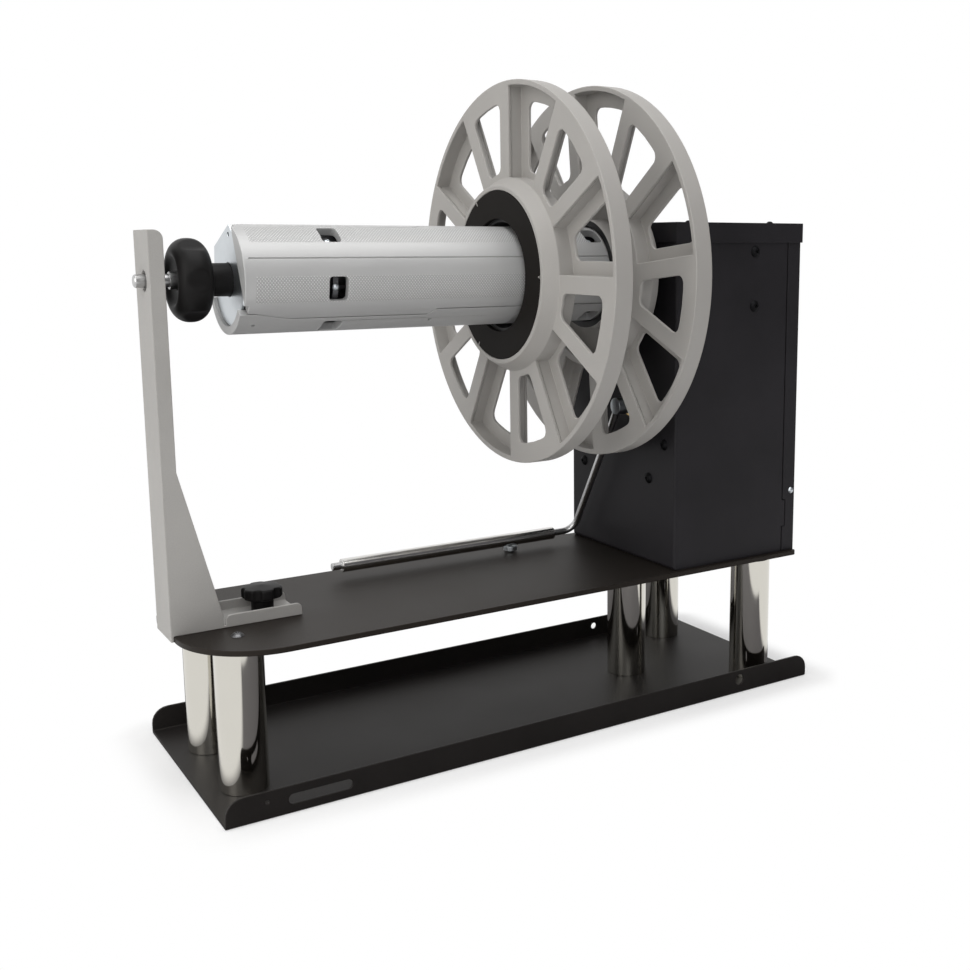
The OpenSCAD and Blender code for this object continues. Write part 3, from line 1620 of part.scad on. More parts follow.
base_tray();
top_plate();
leg_tubes();
leg_plugs();
leg_top_screws();
leg_bottom_screws();
box_chassis();
box_lid();
lid_screws();
rear_cover();
cover_screws();
panel_screws();
wall_screws();
frame_plate();
bearing_housing();
housing_screws();
bearing_outer_rings();
bearing_balls();
bearing_inner_rings();
bearing_spacer();
motor_bracket();
bracket_posts();
drive_motor();
motor_screws();
motor_rotor();
motor_pulley();
drive_belt();
driven_pulley();
board_bracket();
board_standoffs();
control_board();
power_supply();
power_inlet();
switch_body();
switch_rocker();
angle_sensor();
dancer_bush();
dancer_stop();
spindle_shaft();
core_body();
guide_screws();
end_plate();
flange_carrier();
carrier_screws();
inner_flange();
inner_ring();
outer_flange();
outer_ring();
draw_sleeve();
jaw_front();
jaw_lower();
jaw_rear();
hand_knob();
knob_hub();
support_arm();
clamp_knob();
clamp_stud();
dancer_rod();
dancer_hub();
dancer_roller();
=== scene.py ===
# %% [markdown]
# Label unwinder: the looks.
# The machine stands on a folded black tray. Five chromed legs carry a long plate with the drive box
# on its right end. A shaft comes out of the box and carries the core holder with its three jaws, two
# grey spoked flanges and a hand knob. A grey arm holds the shaft's far end, and a bent wire with a
# roller, the dancer, hangs under the roll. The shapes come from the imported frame, and these cells
# give every visible piece its soft edges, its finish and its light.

# %% Load the frame
import bpy
import json
import math
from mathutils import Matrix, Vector

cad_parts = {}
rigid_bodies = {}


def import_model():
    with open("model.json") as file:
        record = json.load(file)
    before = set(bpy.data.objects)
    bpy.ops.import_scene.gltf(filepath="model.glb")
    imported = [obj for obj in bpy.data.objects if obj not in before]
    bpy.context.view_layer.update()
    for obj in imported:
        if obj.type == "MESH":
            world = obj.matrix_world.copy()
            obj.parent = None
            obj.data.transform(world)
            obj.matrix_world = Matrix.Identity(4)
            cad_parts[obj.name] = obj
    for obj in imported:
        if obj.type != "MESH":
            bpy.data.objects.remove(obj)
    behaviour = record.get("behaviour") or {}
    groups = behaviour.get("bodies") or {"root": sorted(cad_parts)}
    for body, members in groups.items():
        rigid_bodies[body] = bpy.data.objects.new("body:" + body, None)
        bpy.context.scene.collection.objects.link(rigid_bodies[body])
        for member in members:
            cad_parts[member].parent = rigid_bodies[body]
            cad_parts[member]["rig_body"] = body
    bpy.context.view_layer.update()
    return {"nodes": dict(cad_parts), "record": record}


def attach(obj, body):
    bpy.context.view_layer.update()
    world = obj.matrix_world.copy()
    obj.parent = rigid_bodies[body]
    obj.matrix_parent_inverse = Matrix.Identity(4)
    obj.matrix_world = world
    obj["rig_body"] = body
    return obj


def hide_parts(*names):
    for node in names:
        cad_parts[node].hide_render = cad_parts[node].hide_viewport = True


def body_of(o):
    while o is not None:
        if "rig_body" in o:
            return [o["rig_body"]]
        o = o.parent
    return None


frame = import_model()

# %% [markdown]
# Shader maths.
# A finish is a small sum of patterns. Written node by node it is long and hard to follow, so one
# class wraps a socket and lets Python's own signs add the Math nodes. Colours never pass through
# a Math node, which would turn them grey: they are mixed with the Mix node.

# %% A socket that can be used in a sum
class Wire:
    def __init__(self, finish, socket):
        self.finish = finish
        self.socket = socket

    def step(self, operation, *values):
        node = self.finish.add("ShaderNodeMath", {"operation": operation},
                               dict(enumerate(values)))
        return Wire(self.finish, node.outputs[0])

    def __add__(self, other):
        return self.step("ADD", self, other)

    def __sub__(self, other):
        return self.step("SUBTRACT", self, other)

    def __rsub__(self, other):
        return self.step("SUBTRACT", other, self)

    def __mul__(self, other):
        return self.step("MULTIPLY", self, other)

    def __pow__(self, other):
        return self.step("POWER", self, other)

    def __abs__(self):
        return self.step("ABSOLUTE", self)

    __radd__ = __add__
    __rmul__ = __mul__


# %% [markdown]
# Finishes.
# Every surface of the machine gets one material with the Principled shader. The class below adds
# nodes to it, joins them, and offers the few patterns that these finishes share: a place in the
# object's own coordinates, a noise, a soft step, a mix of two colours and a bump.

# %% A finish and its nodes
white = (1.0, 1.0, 1.0, 1.0)


class Finish:
    def __init__(self, name):
        self.material = bpy.data.materials.new(name)
        self.material.use_nodes = True
        self.tree = self.material.node_tree
        self.surface = self.tree.nodes["Principled BSDF"]

    def add(self, kind, settings=None, values=None):
        node = self.tree.nodes.new(kind)
        for key, value in (settings or {}).items():
            setattr(node, key, value)
        for key, value in (values or {}).items():
            self.join(value, node.inputs[key])
        return node

    def join(self, value, socket):
        if isinstance(value, Wire):
            self.tree.links.new(value.socket, socket)
        else:
            socket.default_value = value

    def place(self):
        return Wire(self, self.add("ShaderNodeTexCoord").outputs["Object"])

    def stretched(self, place, scale):
        node = self.add("ShaderNodeMapping", None, {"Vector": place, "Scale": scale})
        return Wire(self, node.outputs[0])

    def noise(self, place, scale, detail=2.0, rough=0.5):
        node = self.add("ShaderNodeTexNoise", None,
                        {"Vector": place, "Scale": scale, "Detail": detail,
                         "Roughness": rough})
        return Wire(self, node.outputs["Fac"])

    def mix(self, low, high, amount):
        node = self.add("ShaderNodeMix", {"data_type": "RGBA"}, {0: amount, 6: low, 7: high})
        return Wire(self, node.outputs[2])

    def between(self, value, low, high, to_low=0.0, to_high=1.0):
        node = self.add("ShaderNodeMapRange", {"interpolation_type": "SMOOTHSTEP"},
                        {"Value": value, "From Min": low, "From Max": high,
                         "To Min": to_low, "To Max": to_high})
        return Wire(self, node.outputs[0])

    def bump(self, height, distance, strength=1.0):
        node = self.add("ShaderNodeBump", None,
                        {"Height": height, "Distance": distance, "Strength": strength})
        self.join(Wire(self, node.outputs[0]), self.surface.inputs["Normal"])

    def glow(self, share):
        light = self.add("ShaderNodeEmission", None, {"Color": white, "Strength": 1.0})
        blend = self.add("ShaderNodeMixShader", None, {0: share})
        self.tree.links.new(self.surface.outputs[0], blend.inputs[1])
        self.tree.links.new(light.outputs[0], blend.inputs[2])
        self.tree.links.new(blend.outputs[0], self.tree.nodes["Material Output"].inputs[0])

    def ray(self, kind):
        return Wire(self, self.add("ShaderNodeLightPath").outputs[kind])

    def give(self, **values):
        for key, value in values.items():
            self.join(value, self.surface.inputs[key.replace("_", " ")])
        return self.material


def shade(colour, factor):
    return tuple(min(1.0, c * factor) for c in colour) + (1.0,)


# %% [markdown]
# Powder coat.
# The tray, the plate and the box are folded steel with a fine textured powder coat. Up close it is
# a skin of soft grains, half a millimetre across, and from further off its shine drifts a little.
# Two noises give both: the fine one feeds the bump and the roughness, the broad one the colour.

# %% Coated metal
def powder_coat(name, colour, rough, grain, depth, sheen, tint=white, drift=0.2):
    finish = Finish(name)
    finish.surface.inputs["Specular IOR Level"].default_value = sheen
    finish.surface.inputs["Specular Tint"].default_value = tint
    place = finish.place()
    fine = finish.noise(place, 1 / grain, 2.0, 0.6)
    broad = finish.noise(place, 14.0, 3.0)
    tone = finish.between(broad * 0.6 + fine * 0.4, 0.3, 0.7)
    finish.bump(fine, depth)
    base = finish.mix(shade(colour, 1 - drift), shade(colour, 1 + drift), tone)
    return finish.give(Base_Color=base,
                       Roughness=rough + (fine - 0.5) * drift + (broad - 0.5) * 0.1)


warm = (1.0, 0.92, 0.86, 1.0)
warmer = (1.0, 0.88, 0.79, 1.0)
black_coat = powder_coat("black powder coat", (0.012, 0.0108, 0.0104), 0.5, 0.0007, 0.00004, 0.24,
                         warm)
box_coat = powder_coat("box powder coat", (0.017, 0.0158, 0.018), 0.5, 0.0007, 0.00004, 0.16)
plate_coat = powder_coat("plate powder coat", (0.0115, 0.0094, 0.0078), 0.5, 0.0009, 0.00006, 0.22,
                         warmer)
grey_coat = powder_coat("grey powder coat", (0.36, 0.35, 0.335), 0.5, 0.0009, 0.000006, 0.3,
                        drift=0.07)
print("coats:", black_coat.name, plate_coat.name, grey_coat.name)

# %% [markdown]
# Plated and bare metal.
# Chrome is a mirror with faint wiping marks. Zinc plate is softer and a little blue, with cloudy
# patches. Turned and ground steel shows fine lines round its axis, which a noise squeezed along
# one direction gives.

# %% Metals
def metal(name, colour, rough, cloud, lines=(1.0, 1.0, 1.0), line_scale=600.0, depth=0.0):
    finish = Finish(name)
    place = finish.place()
    patches = finish.noise(place, 45.0, 4.0)
    scratch = finish.noise(finish.stretched(place, lines), line_scale, 2.0, 0.7)
    if depth:
        finish.bump(scratch, depth)
    finish.surface.inputs["Metallic"].default_value = 1.0
    tone = patches * 0.7 + scratch * 0.3
    base = finish.mix(shade(colour, 1 - cloud), shade(colour, 1 + cloud), tone)
    return finish.give(Base_Color=base,
                       Roughness=rough * (0.75 + 0.5 * scratch) + (patches - 0.5) * cloud * 0.3)


chrome = metal("polished chrome", (0.64, 0.62, 0.565), 0.07, 0.03, (1.0, 1.0, 0.1))
zinc = metal("bright zinc plate", (0.6, 0.635, 0.66), 0.34, 0.03, line_scale=150.0)
# The core body is zinc plated like the other zinc parts. This darker copy of zinc is painted shade,
# for the body sits deep inside the jaws.
zinc_painted_shade = metal("zinc darkened as painted shade", (0.12, 0.12, 0.125), 0.45, 0.08)
steel = metal("ground steel", (0.5, 0.5, 0.5), 0.3, 0.08, (0.05, 1.0, 1.0))
aluminium = metal("turned aluminium", (0.66, 0.66, 0.66), 0.3, 0.06, (1.0, 0.1, 0.1))
brass = metal("turned brass", (0.62, 0.44, 0.19), 0.28, 0.08)
black_steel = metal("black oxide steel", (0.014, 0.014, 0.015), 0.6, 0.15)
dark_chrome = metal("dark chrome", (0.13, 0.13, 0.135), 0.34, 0.08)
roller_steel = metal("ground roller", (0.72, 0.71, 0.69), 0.2, 0.05, (0.05, 1.0, 1.0), 400.0)
print("metals:", chrome.name, zinc.name, steel.name)

# %% [markdown]
# Moulded plastic.
# The flanges are light warm grey plastic with a fine moulded texture and faint flow clouds. Inside
# their bore, round the jaws, the grey is painted near black as painted shade. The knobs and rings
# are near black with a soft sheen. All are one recipe with other numbers.

# %% Plastics
axis_y = 0.0
axis_z = 0.3533
painted_bore_shade_r = 0.0442


def plastic(name, colour, rough, sheen, grain=0.0006, depth=0.00002, drift=0.08, bore_r=0.0):
    finish = Finish(name)
    finish.surface.inputs["Specular IOR Level"].default_value = sheen
    place = finish.place()
    fine = finish.noise(place, 1 / grain, 2.0, 0.55)
    flow = finish.noise(place, 22.0, 4.0)
    finish.bump(fine, depth)
    tone = flow * 0.75 + fine * 0.25
    colour = finish.mix(shade(colour, 1 - drift), shade(colour, 1 + drift), tone)
    # Painted shade: within the bore's radius the grey is turned near black.
    if bore_r:
        split = finish.add("ShaderNodeSeparateXYZ", None, {0: place})
        y = Wire(finish, split.outputs[1]) - axis_y
        z = Wire(finish, split.outputs[2]) - axis_z
        inside = finish.between((y * y + z * z) ** 0.5, bore_r + 0.0002, bore_r - 0.0002)
        colour = finish.mix(colour, (0.012, 0.012, 0.012, 1.0), inside)
    return finish.give(Base_Color=colour,
                       Roughness=rough + (fine - 0.5) * 0.12 + (flow - 0.5) * 0.12)


flange_plastic = plastic("moulded grey plastic", (0.35, 0.337, 0.32), 0.5, 0.3,
                         bore_r=painted_bore_shade_r)
black_plastic = plastic("moulded black plastic", (0.0075, 0.007, 0.007), 0.45, 0.12)
ring_plastic = plastic("ring plastic", (0.0115, 0.0102, 0.0092), 0.6, 0.05)
red_plastic = plastic("moulded red plastic", (0.4, 0.03, 0.03), 0.3, 0.5)
belt_rubber = plastic("belt rubber", (0.02, 0.02, 0.02), 0.75, 0.3, 0.0008, 0.00008)
board_green = plastic("circuit board", (0.02, 0.12, 0.05), 0.35, 0.5)
print("plastics:", flange_plastic.name, black_plastic.name)

# %% [markdown]
# Knurled jaws.
# Each jaw is a satin metal shell with a strip of fine knurling on either side of its middle, which
# grips the cardboard core. What shows of the lower jaw is smooth, so it gets no knurl at all. The
# knurl is too fine to model tooth by tooth. Two sets of crossing waves on the angle and the length
# give its diamonds, and the Mapping node turns the pattern to each jaw, so one recipe fits all
# three. Only the outer skin is knurled, so a limit on the distance from the axis keeps the pattern
# off the end faces and the windows' walls. Besides the bump, the teeth's tips are painted lighter
# and the grooves between them darker: a painted highlight and painted shade.

# %% Jaw metal
core_radius = 0.038
jaw_angles = {"jaw_front": 23.0, "jaw_lower": -97.0, "jaw_rear": 143.0}
metal_tone = (0.46, 0.46, 0.457)
knurl_pitch = 0.0022
knurl_row = 0.0013
knurl_start = {"jaw_front": -0.2015, "jaw_lower": -0.2015, "jaw_rear": -0.1965}
knurl_inner = math.radians(19.5)
knurl_outer = math.radians(47.0)
knurl_edge = math.radians(0.8)


def jaw_metal(name, angle, start, knurled=1.0):
    finish = Finish(name)
    centred = finish.add("ShaderNodeMapping", {"vector_type": "POINT"},
                         {"Vector": finish.place(), "Location": (0.0, -axis_y, -axis_z)})
    turned = finish.add("ShaderNodeMapping", {"vector_type": "POINT"},
                        {"Vector": Wire(finish, centred.outputs[0]),
                         "Rotation": (math.radians(angle), 0.0, 0.0)})
    split = finish.add("ShaderNodeSeparateXYZ", None, {0: Wire(finish, turned.outputs[0])})
    x = Wire(finish, split.outputs[0])
    y = Wire(finish, split.outputs[1])
    z = Wire(finish, split.outputs[2])
    turn = z.step("ARCTAN2", z, 0.0 - y)
    away = abs(turn)
    strip = (finish.between(away, knurl_inner - knurl_edge, knurl_inner + knurl_edge)
             * finish.between(away, knurl_outer + knurl_edge, knurl_outer - knurl_edge)
             * finish.between(x, start, start + 0.001)
             * finish.between((y * y + z * z) ** 0.5, core_radius - 0.0005, core_radius - 0.0002)
             * knurled)
    across = turn * core_radius
    along = x * (2 * math.pi / knurl_pitch)
    rows = across * (math.pi / knurl_row)
    one = (along + rows).step("COSINE", along + rows)
    two = (along - rows).step("COSINE", along - rows)
    teeth = finish.between((one + 1) * (two + 1) * 0.25, 0.2, 0.75)
    place = finish.place()
    fine = finish.noise(place, 1500.0, 2.0)
    cloud = finish.noise(finish.stretched(place, (0.3, 1.0, 1.0)), 60.0, 3.0)
    finish.bump(teeth * strip + fine * 0.04, 0.00025, 0.7)
    finish.surface.inputs["Metallic"].default_value = 0.3
    finish.surface.inputs["Specular IOR Level"].default_value = 0.4
    smooth = finish.mix(shade(metal_tone, 0.96), shade(metal_tone, 1.04), cloud)
    # Painted highlight and shade: the teeth's tips are lighter than the metal, the grooves darker.
    knurl_painted_light = finish.mix(shade(metal_tone, 0.86), shade(metal_tone, 1.4), teeth)
    return finish.give(Base_Color=finish.mix(smooth, knurl_painted_light, strip),
                       Roughness=0.46 + strip * 0.08 + (cloud - 0.5) * 0.1)


jaw_finishes = {node: jaw_metal(node.replace("_", " ") + " metal", angle, knurl_start[node],
                                0.0 if node == "jaw_lower" else 1.0)
                for node, angle in jaw_angles.items()}
print("jaw finishes:", len(jaw_finishes))

# %% [markdown]
# One finish for every node.
# The record says which material slot each node has. Giving every node its finish first means that
# nothing is left grey, also what is hidden inside the box. The visible nodes are then rebuilt with
# soft edges in the next cells.

# %% Finish every node
slot_finish = {"black_coat": black_coat, "plate_coat": plate_coat, "grey_coat": grey_coat,
               "leg_chrome": chrome, "zinc": zinc, "steel": steel, "black_steel": black_steel,
               "flange_plastic": flange_plastic, "black_plastic": black_plastic,
               "aluminium": aluminium, "brass": brass, "belt_rubber": belt_rubber,
               "board": board_green, "red_plastic": red_plastic}
node_slot = {part["node"]: part["material_slot"] for part in frame["record"]["subparts"]
             if part.get("material_slot")}
# The core body gets the darker copy of zinc, which is painted shade.
own_finish = {"box_chassis": box_coat, "box_lid": box_coat, "rear_cover": box_coat,
              "outer_ring": ring_plastic, "inner_ring": ring_plastic,
              "leg_top_screws": dark_chrome, "core_body": zinc_painted_shade,
              "dancer_roller": roller_steel}
own_finish.update(jaw_finishes)
node_finish = {}
for node in sorted(frame["nodes"]):
    finish = own_finish.get(node) or slot_finish[node_slot[node]]
    node_finish[node] = finish
    mesh = frame["nodes"][node].data
    if not mesh.materials:
        mesh.materials.append(finish)
    for i in range(len(mesh.materials)):
        mesh.materials[i] = finish
print("finished nodes:", len(node_finish))

# %% [markdown]
# Soft edges.
# No real edge is a knife edge: a folded sheet, a moulding and a turned part all catch a thin line
# of light. The frame's meshes are loose triangles, so a copy is merged, its flat faces are joined,
# and a Bevel modifier rounds every edge that is sharper than an angle. Weighted normals keep the
# flats flat.

# %% Copy a node with soft edges
def only(piece):
    bpy.ops.object.select_all(action="DESELECT")
    piece.select_set(True)
    bpy.context.view_layer.objects.active = piece


def merged_copy(node):
    mesh = frame["nodes"][node].data.copy()
    piece = bpy.data.objects.new(node + "_shape", mesh)
    bpy.context.scene.collection.objects.link(piece)
    only(piece)
    bpy.ops.mesh.customdata_custom_splitnormals_clear()
    bpy.ops.object.mode_set(mode="EDIT")
    bpy.ops.mesh.select_all(action="SELECT")
    bpy.ops.mesh.remove_doubles(threshold=0.000002)
    bpy.ops.mesh.dissolve_limited(angle_limit=math.radians(0.5))
    bpy.ops.object.mode_set(mode="OBJECT")
    return piece


def apply_all(piece):
    only(piece)
    for modifier in list(piece.modifiers):
        bpy.ops.object.modifier_apply(modifier=modifier.name)


def settle(piece, *nodes, finish=None):
    piece.data.materials.clear()
    piece.data.materials.append(finish or node_finish[nodes[0]])
    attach(piece, body_of(frame["nodes"][nodes[0]])[0])
    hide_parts(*nodes)
    return piece


def soften(piece, radius, steps, angle):
    bevel = piece.modifiers.new("edges", "BEVEL")
    bevel.width = radius
    bevel.segments = steps
    bevel.limit_method = "ANGLE"
    bevel.angle_limit = math.radians(angle)
    bevel.use_clamp_overlap = False
    bevel.miter_outer = "MITER_ARC"
    weighted = piece.modifiers.new("normals", "WEIGHTED_NORMAL")
    weighted.keep_sharp = True
    only(piece)
    bpy.ops.object.shade_smooth_by_angle(angle=math.radians(angle))
    apply_all(piece)
    return piece


def soft_copy(node, radius=0.0003, steps=2, angle=35):
    return settle(soften(merged_copy(node), radius, steps, angle), node)


# %% [markdown]
# Folds of the box.
# The box is folded from sheet. A press brake leaves the outside of each fold round, and the round
# catches a soft line of light. The upright edges at the box's two left corners are picked by their
# place, and Blender's bevel rounds them in edit mode. The lid's folds only get the narrow bevel of
# the next cell, so they are sharper than on the real machine.

# %% Round the outside of a fold
box_left = 0.123
box_side = 0.077
near = 0.0003


def fold(piece, on_fold, radius):
    mesh = piece.data
    only(piece)
    bpy.ops.object.mode_set(mode="EDIT")
    bpy.ops.mesh.select_mode(type="EDGE")
    bpy.ops.mesh.select_all(action="DESELECT")
    bpy.ops.object.mode_set(mode="OBJECT")
    for edge in mesh.edges:
        edge.select = all(on_fold(mesh.vertices[i].co) for i in edge.vertices)
    folds = sum(edge.select for edge in mesh.edges)
    bpy.ops.object.mode_set(mode="EDIT")
    bpy.ops.mesh.bevel(offset=radius, segments=4, affect="EDGES")
    bpy.ops.object.mode_set(mode="OBJECT")
    return folds


def box_corner(place):
    return abs(place.x - box_left) < near and abs(abs(place.y) - box_side) < near


# %% [markdown]
# Sheet metal.
# The tray, the plate, the box and its lid are cut and folded from sheet. Their cut edges are barely
# broken under the coat, so a bevel of 0.3 to 0.4 mm is enough there.

# %% Tray, plate and box
sheet_angle = 40
box_edge_r = 0.0003
sheet_edge_r = 0.0004
box_fold_r = 0.003
chassis = merged_copy("box_chassis")
lid = merged_copy("box_lid")
print("folds:", fold(chassis, box_corner, box_fold_r))
sheet_pieces = [settle(soften(chassis, box_edge_r, 2, sheet_angle), "box_chassis"),
                settle(soften(lid, box_edge_r, 2, sheet_angle), "box_lid")]
sheet_pieces += [soft_copy(node, sheet_edge_r, 2, sheet_angle) for node in ("base_tray", "top_plate")]
print("sheets:", [p.name for p in sheet_pieces])

# %% [markdown]
# Rear cover.
# The cover closes the back of the box and meets it in a seam on each side. The photograph shows the
# seam as a dark line, wider than the gap in the solids. The cover's copy is drawn back towards its
# rear face by a share of its depth, which widens the seam and leaves the rear face in its place.

# %% Draw the rear cover back
cover_back = (0.255, 0.0, 0.0)
cover_draw = 0.95
cover_edge_r = 0.0006
cover = soft_copy("rear_cover", cover_edge_r, 3, sheet_angle)
cover_ends = [pick(v.co.x for v in cover.data.vertices) for pick in (min, max)]
only(cover)
bpy.ops.object.mode_set(mode="EDIT")
bpy.ops.mesh.select_all(action="SELECT")
bpy.ops.transform.resize(value=(cover_draw, 1.0, 1.0), center_override=cover_back)
bpy.ops.object.mode_set(mode="OBJECT")
sheet_pieces.append(cover)
drawn_ends = [pick(v.co.x for v in cover.data.vertices) for pick in (min, max)]
print("front and rear ends moved:", [round(b - a, 5) for a, b in zip(cover_ends, drawn_ends)])

# %% [markdown]
# Support arm.
# The arm is cut and folded from sheet too. It stands nearer to the camera than the box, so its edges
# get a wider round with one more step.

# %% Support arm
arm_edge_r = 0.0005
sheet_pieces.append(soft_copy("support_arm", arm_edge_r, 3, sheet_angle))
print("sheet pieces:", {p.name: len(p.data.polygons) for p in sheet_pieces})

# %% [markdown]
# Flanges.
# Each flange is one moulding: twelve sectors that lie by turns in the front and the back plane,
# joined by radial walls, with a window in each. A moulding has a round on every outer edge and a
# fillet in every corner, so this bevel is wider than that of the tray.

# %% Flanges and their rings
flange_edge_r = 0.0006
ring_edge_r = 0.0003
flange_pieces = [soft_copy(node, flange_edge_r, 3, 30) for node in ("outer_flange", "inner_flange")]
ring_pieces = [soft_copy(node, ring_edge_r) for node in ("outer_ring", "inner_ring")]
print("flanges:", {p.name: len(p.data.polygons) for p in flange_pieces + ring_pieces})

# %% [markdown]
# Tongues and notches.
# Each jaw has a long tongue on one side and a notch for its neighbour's tongue on the other, with
# slanted ends. The ends are slanted here by moving their points along the jaw by their angle. At
# the left the slant is long and flat, and the tongue's end is drawn back along the jaw by 1.7 mm to
# keep a seam open. At the right the notch's end is drawn back by 0.5 mm.

# %% Slant the ends of tongues and notches
tongue_left = -0.1934
tongue_right = -0.0664
tongue_root = 59.2
tongue_depth = 8.0
notch_shift = 120.0
left_root, left_slope = -0.2042, 0.0262
right_root, right_slope = -0.064, -0.006
left_gap = 0.0017
right_gap = 0.0005
jaw_left = {"jaw_front": -0.2042, "jaw_lower": -0.2042, "jaw_rear": -0.1992}


def slant(piece, node):
    moved = 0
    for point in piece.data.vertices:
        angle = math.degrees(math.atan2(point.co.z - axis_z, -point.co.y)) - jaw_angles[node]
        angle = (angle + 180.0) % 360.0 - 180.0
        tongue = angle < -tongue_root + 0.3
        notch = 50.5 < angle < tongue_root + 0.3
        if not (tongue or notch):
            continue
        depth = (-angle if tongue else notch_shift - angle) - tongue_root
        left = max(left_root + left_slope * depth / tongue_depth + left_gap * tongue, jaw_left[node])
        right = right_root + right_slope * depth / tongue_depth + right_gap * notch
        if abs(point.co.x - tongue_left) < near or tongue_left < point.co.x < left:
            point.co.x = left
            moved += 1
        if abs(point.co.x - tongue_right) < near or right < point.co.x < tongue_right:
            point.co.x = right
            moved += 1
    return moved


# %% [markdown]
# Core holder.
# The three jaws sit round a plated body and slide outwards when the knob is turned. Their edges are
# crisp, with a narrow round that shines, and the pieces inside get one of a single step.

# %% Jaws, body and end plate
jaw_edge_r = 0.00035
inner_edge_r = 0.00015
holder_pieces = []
for node in jaw_angles:
    jaw = merged_copy(node)
    print(node, "points moved:", slant(jaw, node))
    holder_pieces.append(settle(soften(jaw, jaw_edge_r, 2, 35), node))
holder_pieces += [soft_copy("end_plate", jaw_edge_r)]
holder_pieces += [soft_copy(node, inner_edge_r, 1)
                  for node in ("core_body", "draw_sleeve", "flange_carrier", "spindle_shaft")]
print("holder:", {p.name: len(p.data.polygons) for p in holder_pieces})

# %% [markdown]
# Knobs.
# Both knobs are thick mouldings without one straight edge. A remesh turns the copy into an even
# skin of small faces, and smoothing that skin rounds every lobe at once, as a mould does.

# %% Round the knobs
def rounded_copy(node, voxel, passes):
    piece = merged_copy(node)
    remesh = piece.modifiers.new("skin", "REMESH")
    remesh.mode = "VOXEL"
    remesh.voxel_size = voxel
    smooth = piece.modifiers.new("round", "SMOOTH")
    smooth.factor = 0.5
    smooth.iterations = passes
    apply_all(piece)
    only(piece)
    bpy.ops.object.shade_smooth()
    return settle(piece, node)


hand_voxel, hand_passes = 0.0006, 40
clamp_voxel, clamp_passes = 0.0005, 12
hub_edge_r = 0.0004
knob_pieces = [rounded_copy("hand_knob", hand_voxel, hand_passes),
               rounded_copy("clamp_knob", clamp_voxel, clamp_passes)]
knob_pieces.append(soft_copy("knob_hub", hub_edge_r))
print("knobs:", {p.name: len(p.data.polygons) for p in knob_pieces})

# %% [markdown]
# Neck of the clamp knob.
# In the solids the head of the small knob on the arm's foot is larger and its neck is shorter. Here
# the head shrinks towards the middle of its top, and what it gives up below becomes neck. The knob
# is found by its place in knob_pieces, and its head by its height.

# %% Shrink the clamp knob's head
clamp_x = -0.195
clamp_neck_z = 0.1208
head_size = (0.88, 0.88, 0.8)
clamp = knob_pieces[1]
clamp_top = max(v.co.z for v in clamp.data.vertices)
for item in (*clamp.data.vertices, *clamp.data.edges, *clamp.data.polygons):
    item.select = False
for vertex in clamp.data.vertices:
    vertex.select = vertex.co.z > clamp_neck_z
only(clamp)
bpy.ops.object.mode_set(mode="EDIT")
bpy.ops.mesh.select_mode(type="VERT")
bpy.ops.transform.resize(value=head_size, center_override=(clamp_x, 0.0, clamp_top))
bpy.ops.object.mode_set(mode="OBJECT")
print("clamp knob's head from", round(min(v.co.z for v in clamp.data.vertices if v.select), 4))

# %% [markdown]
# Small metal.
# Legs, screws, studs, the dancer and its roller are turned, drawn or bent from bar. Their copies
# are merged and shaded smooth, and a narrow bevel breaks their rims.

# %% Legs, dancer and screws
rim_r = 0.0003
screw_rim_r = 0.00015
small_pieces = [soft_copy(node, rim_r)
                for node in ("leg_tubes", "dancer_rod", "dancer_hub", "dancer_roller",
                             "clamp_stud", "dancer_stop", "dancer_bush")]
small_pieces += [soft_copy(node, screw_rim_r, 1)
                 for node in ("leg_plugs", "leg_top_screws", "leg_bottom_screws", "lid_screws",
                              "cover_screws", "panel_screws", "wall_screws", "guide_screws",
                              "carrier_screws", "power_inlet", "switch_body", "switch_rocker")]
print("small pieces:", len(small_pieces))

# %% [markdown]
# Floor.
# The photograph has a plain white ground. The floor is white to the camera and to mirrors, and
# lights the object more gently. Near the tray it keeps a share of its plain shading, so that a
# faint shadow stays. The room in front on the right was dark, as the right half of the front leg
# shows, and a dark patch of floor for mirrors alone stands for a part of it.

# %% Floor
floor_white = 0.35
tray_x = 0.256
tray_y = 0.096
shadow_w = 0.045
dark_left = (-0.29, -0.25)
dark_right = (0.32, 0.28)
dark_front = (-0.355, -0.325)
dark_floor = (0.14, 0.135, 0.145, 1.0)
bpy.ops.object.select_all(action="DESELECT")
bpy.ops.mesh.primitive_plane_add(size=12.0, location=(0.0, 0.0, 0.0))
floor = bpy.context.object
floor.name = "studio_floor"
ground = Finish("studio floor")
floor_tone = ground.noise(ground.place(), 3.0, 2.0)
seen = ground.ray("Is Camera Ray")
mirrored = ground.ray("Is Glossy Ray")
split = ground.add("ShaderNodeSeparateXYZ", None, {0: ground.place()})
across = Wire(ground, split.outputs[0])
along = Wire(ground, split.outputs[1])
dark = (ground.between(across, *dark_left) * ground.between(across, *dark_right)
        * ground.between(along, *dark_front))
outside = (ground.between(across, tray_x, tray_x + shadow_w)
           + ground.between(across, -tray_x, -tray_x - shadow_w)
           + ground.between(along, tray_y, tray_y + shadow_w)
           + ground.between(along, -tray_y, -tray_y - shadow_w))
far = ground.between(outside, 0.0, 1.0, floor_white, 1.0)
pale = ground.mix((0.93, 0.93, 0.93, 1.0), (0.96, 0.96, 0.96, 1.0), floor_tone)
floor.data.materials.append(ground.give(
    Base_Color=ground.mix(pale, dark_floor, dark * mirrored), Roughness=0.85))
ground.glow((seen + mirrored * (1.0 - dark)) * far)
print("floor:", floor.name)

# %% [markdown]
# Dark cards.
# Two dark cards, one on the right and one in front, stand for the rest of that dark room in the
# chrome. Both are white to the camera, so that they don't show beside the machine.

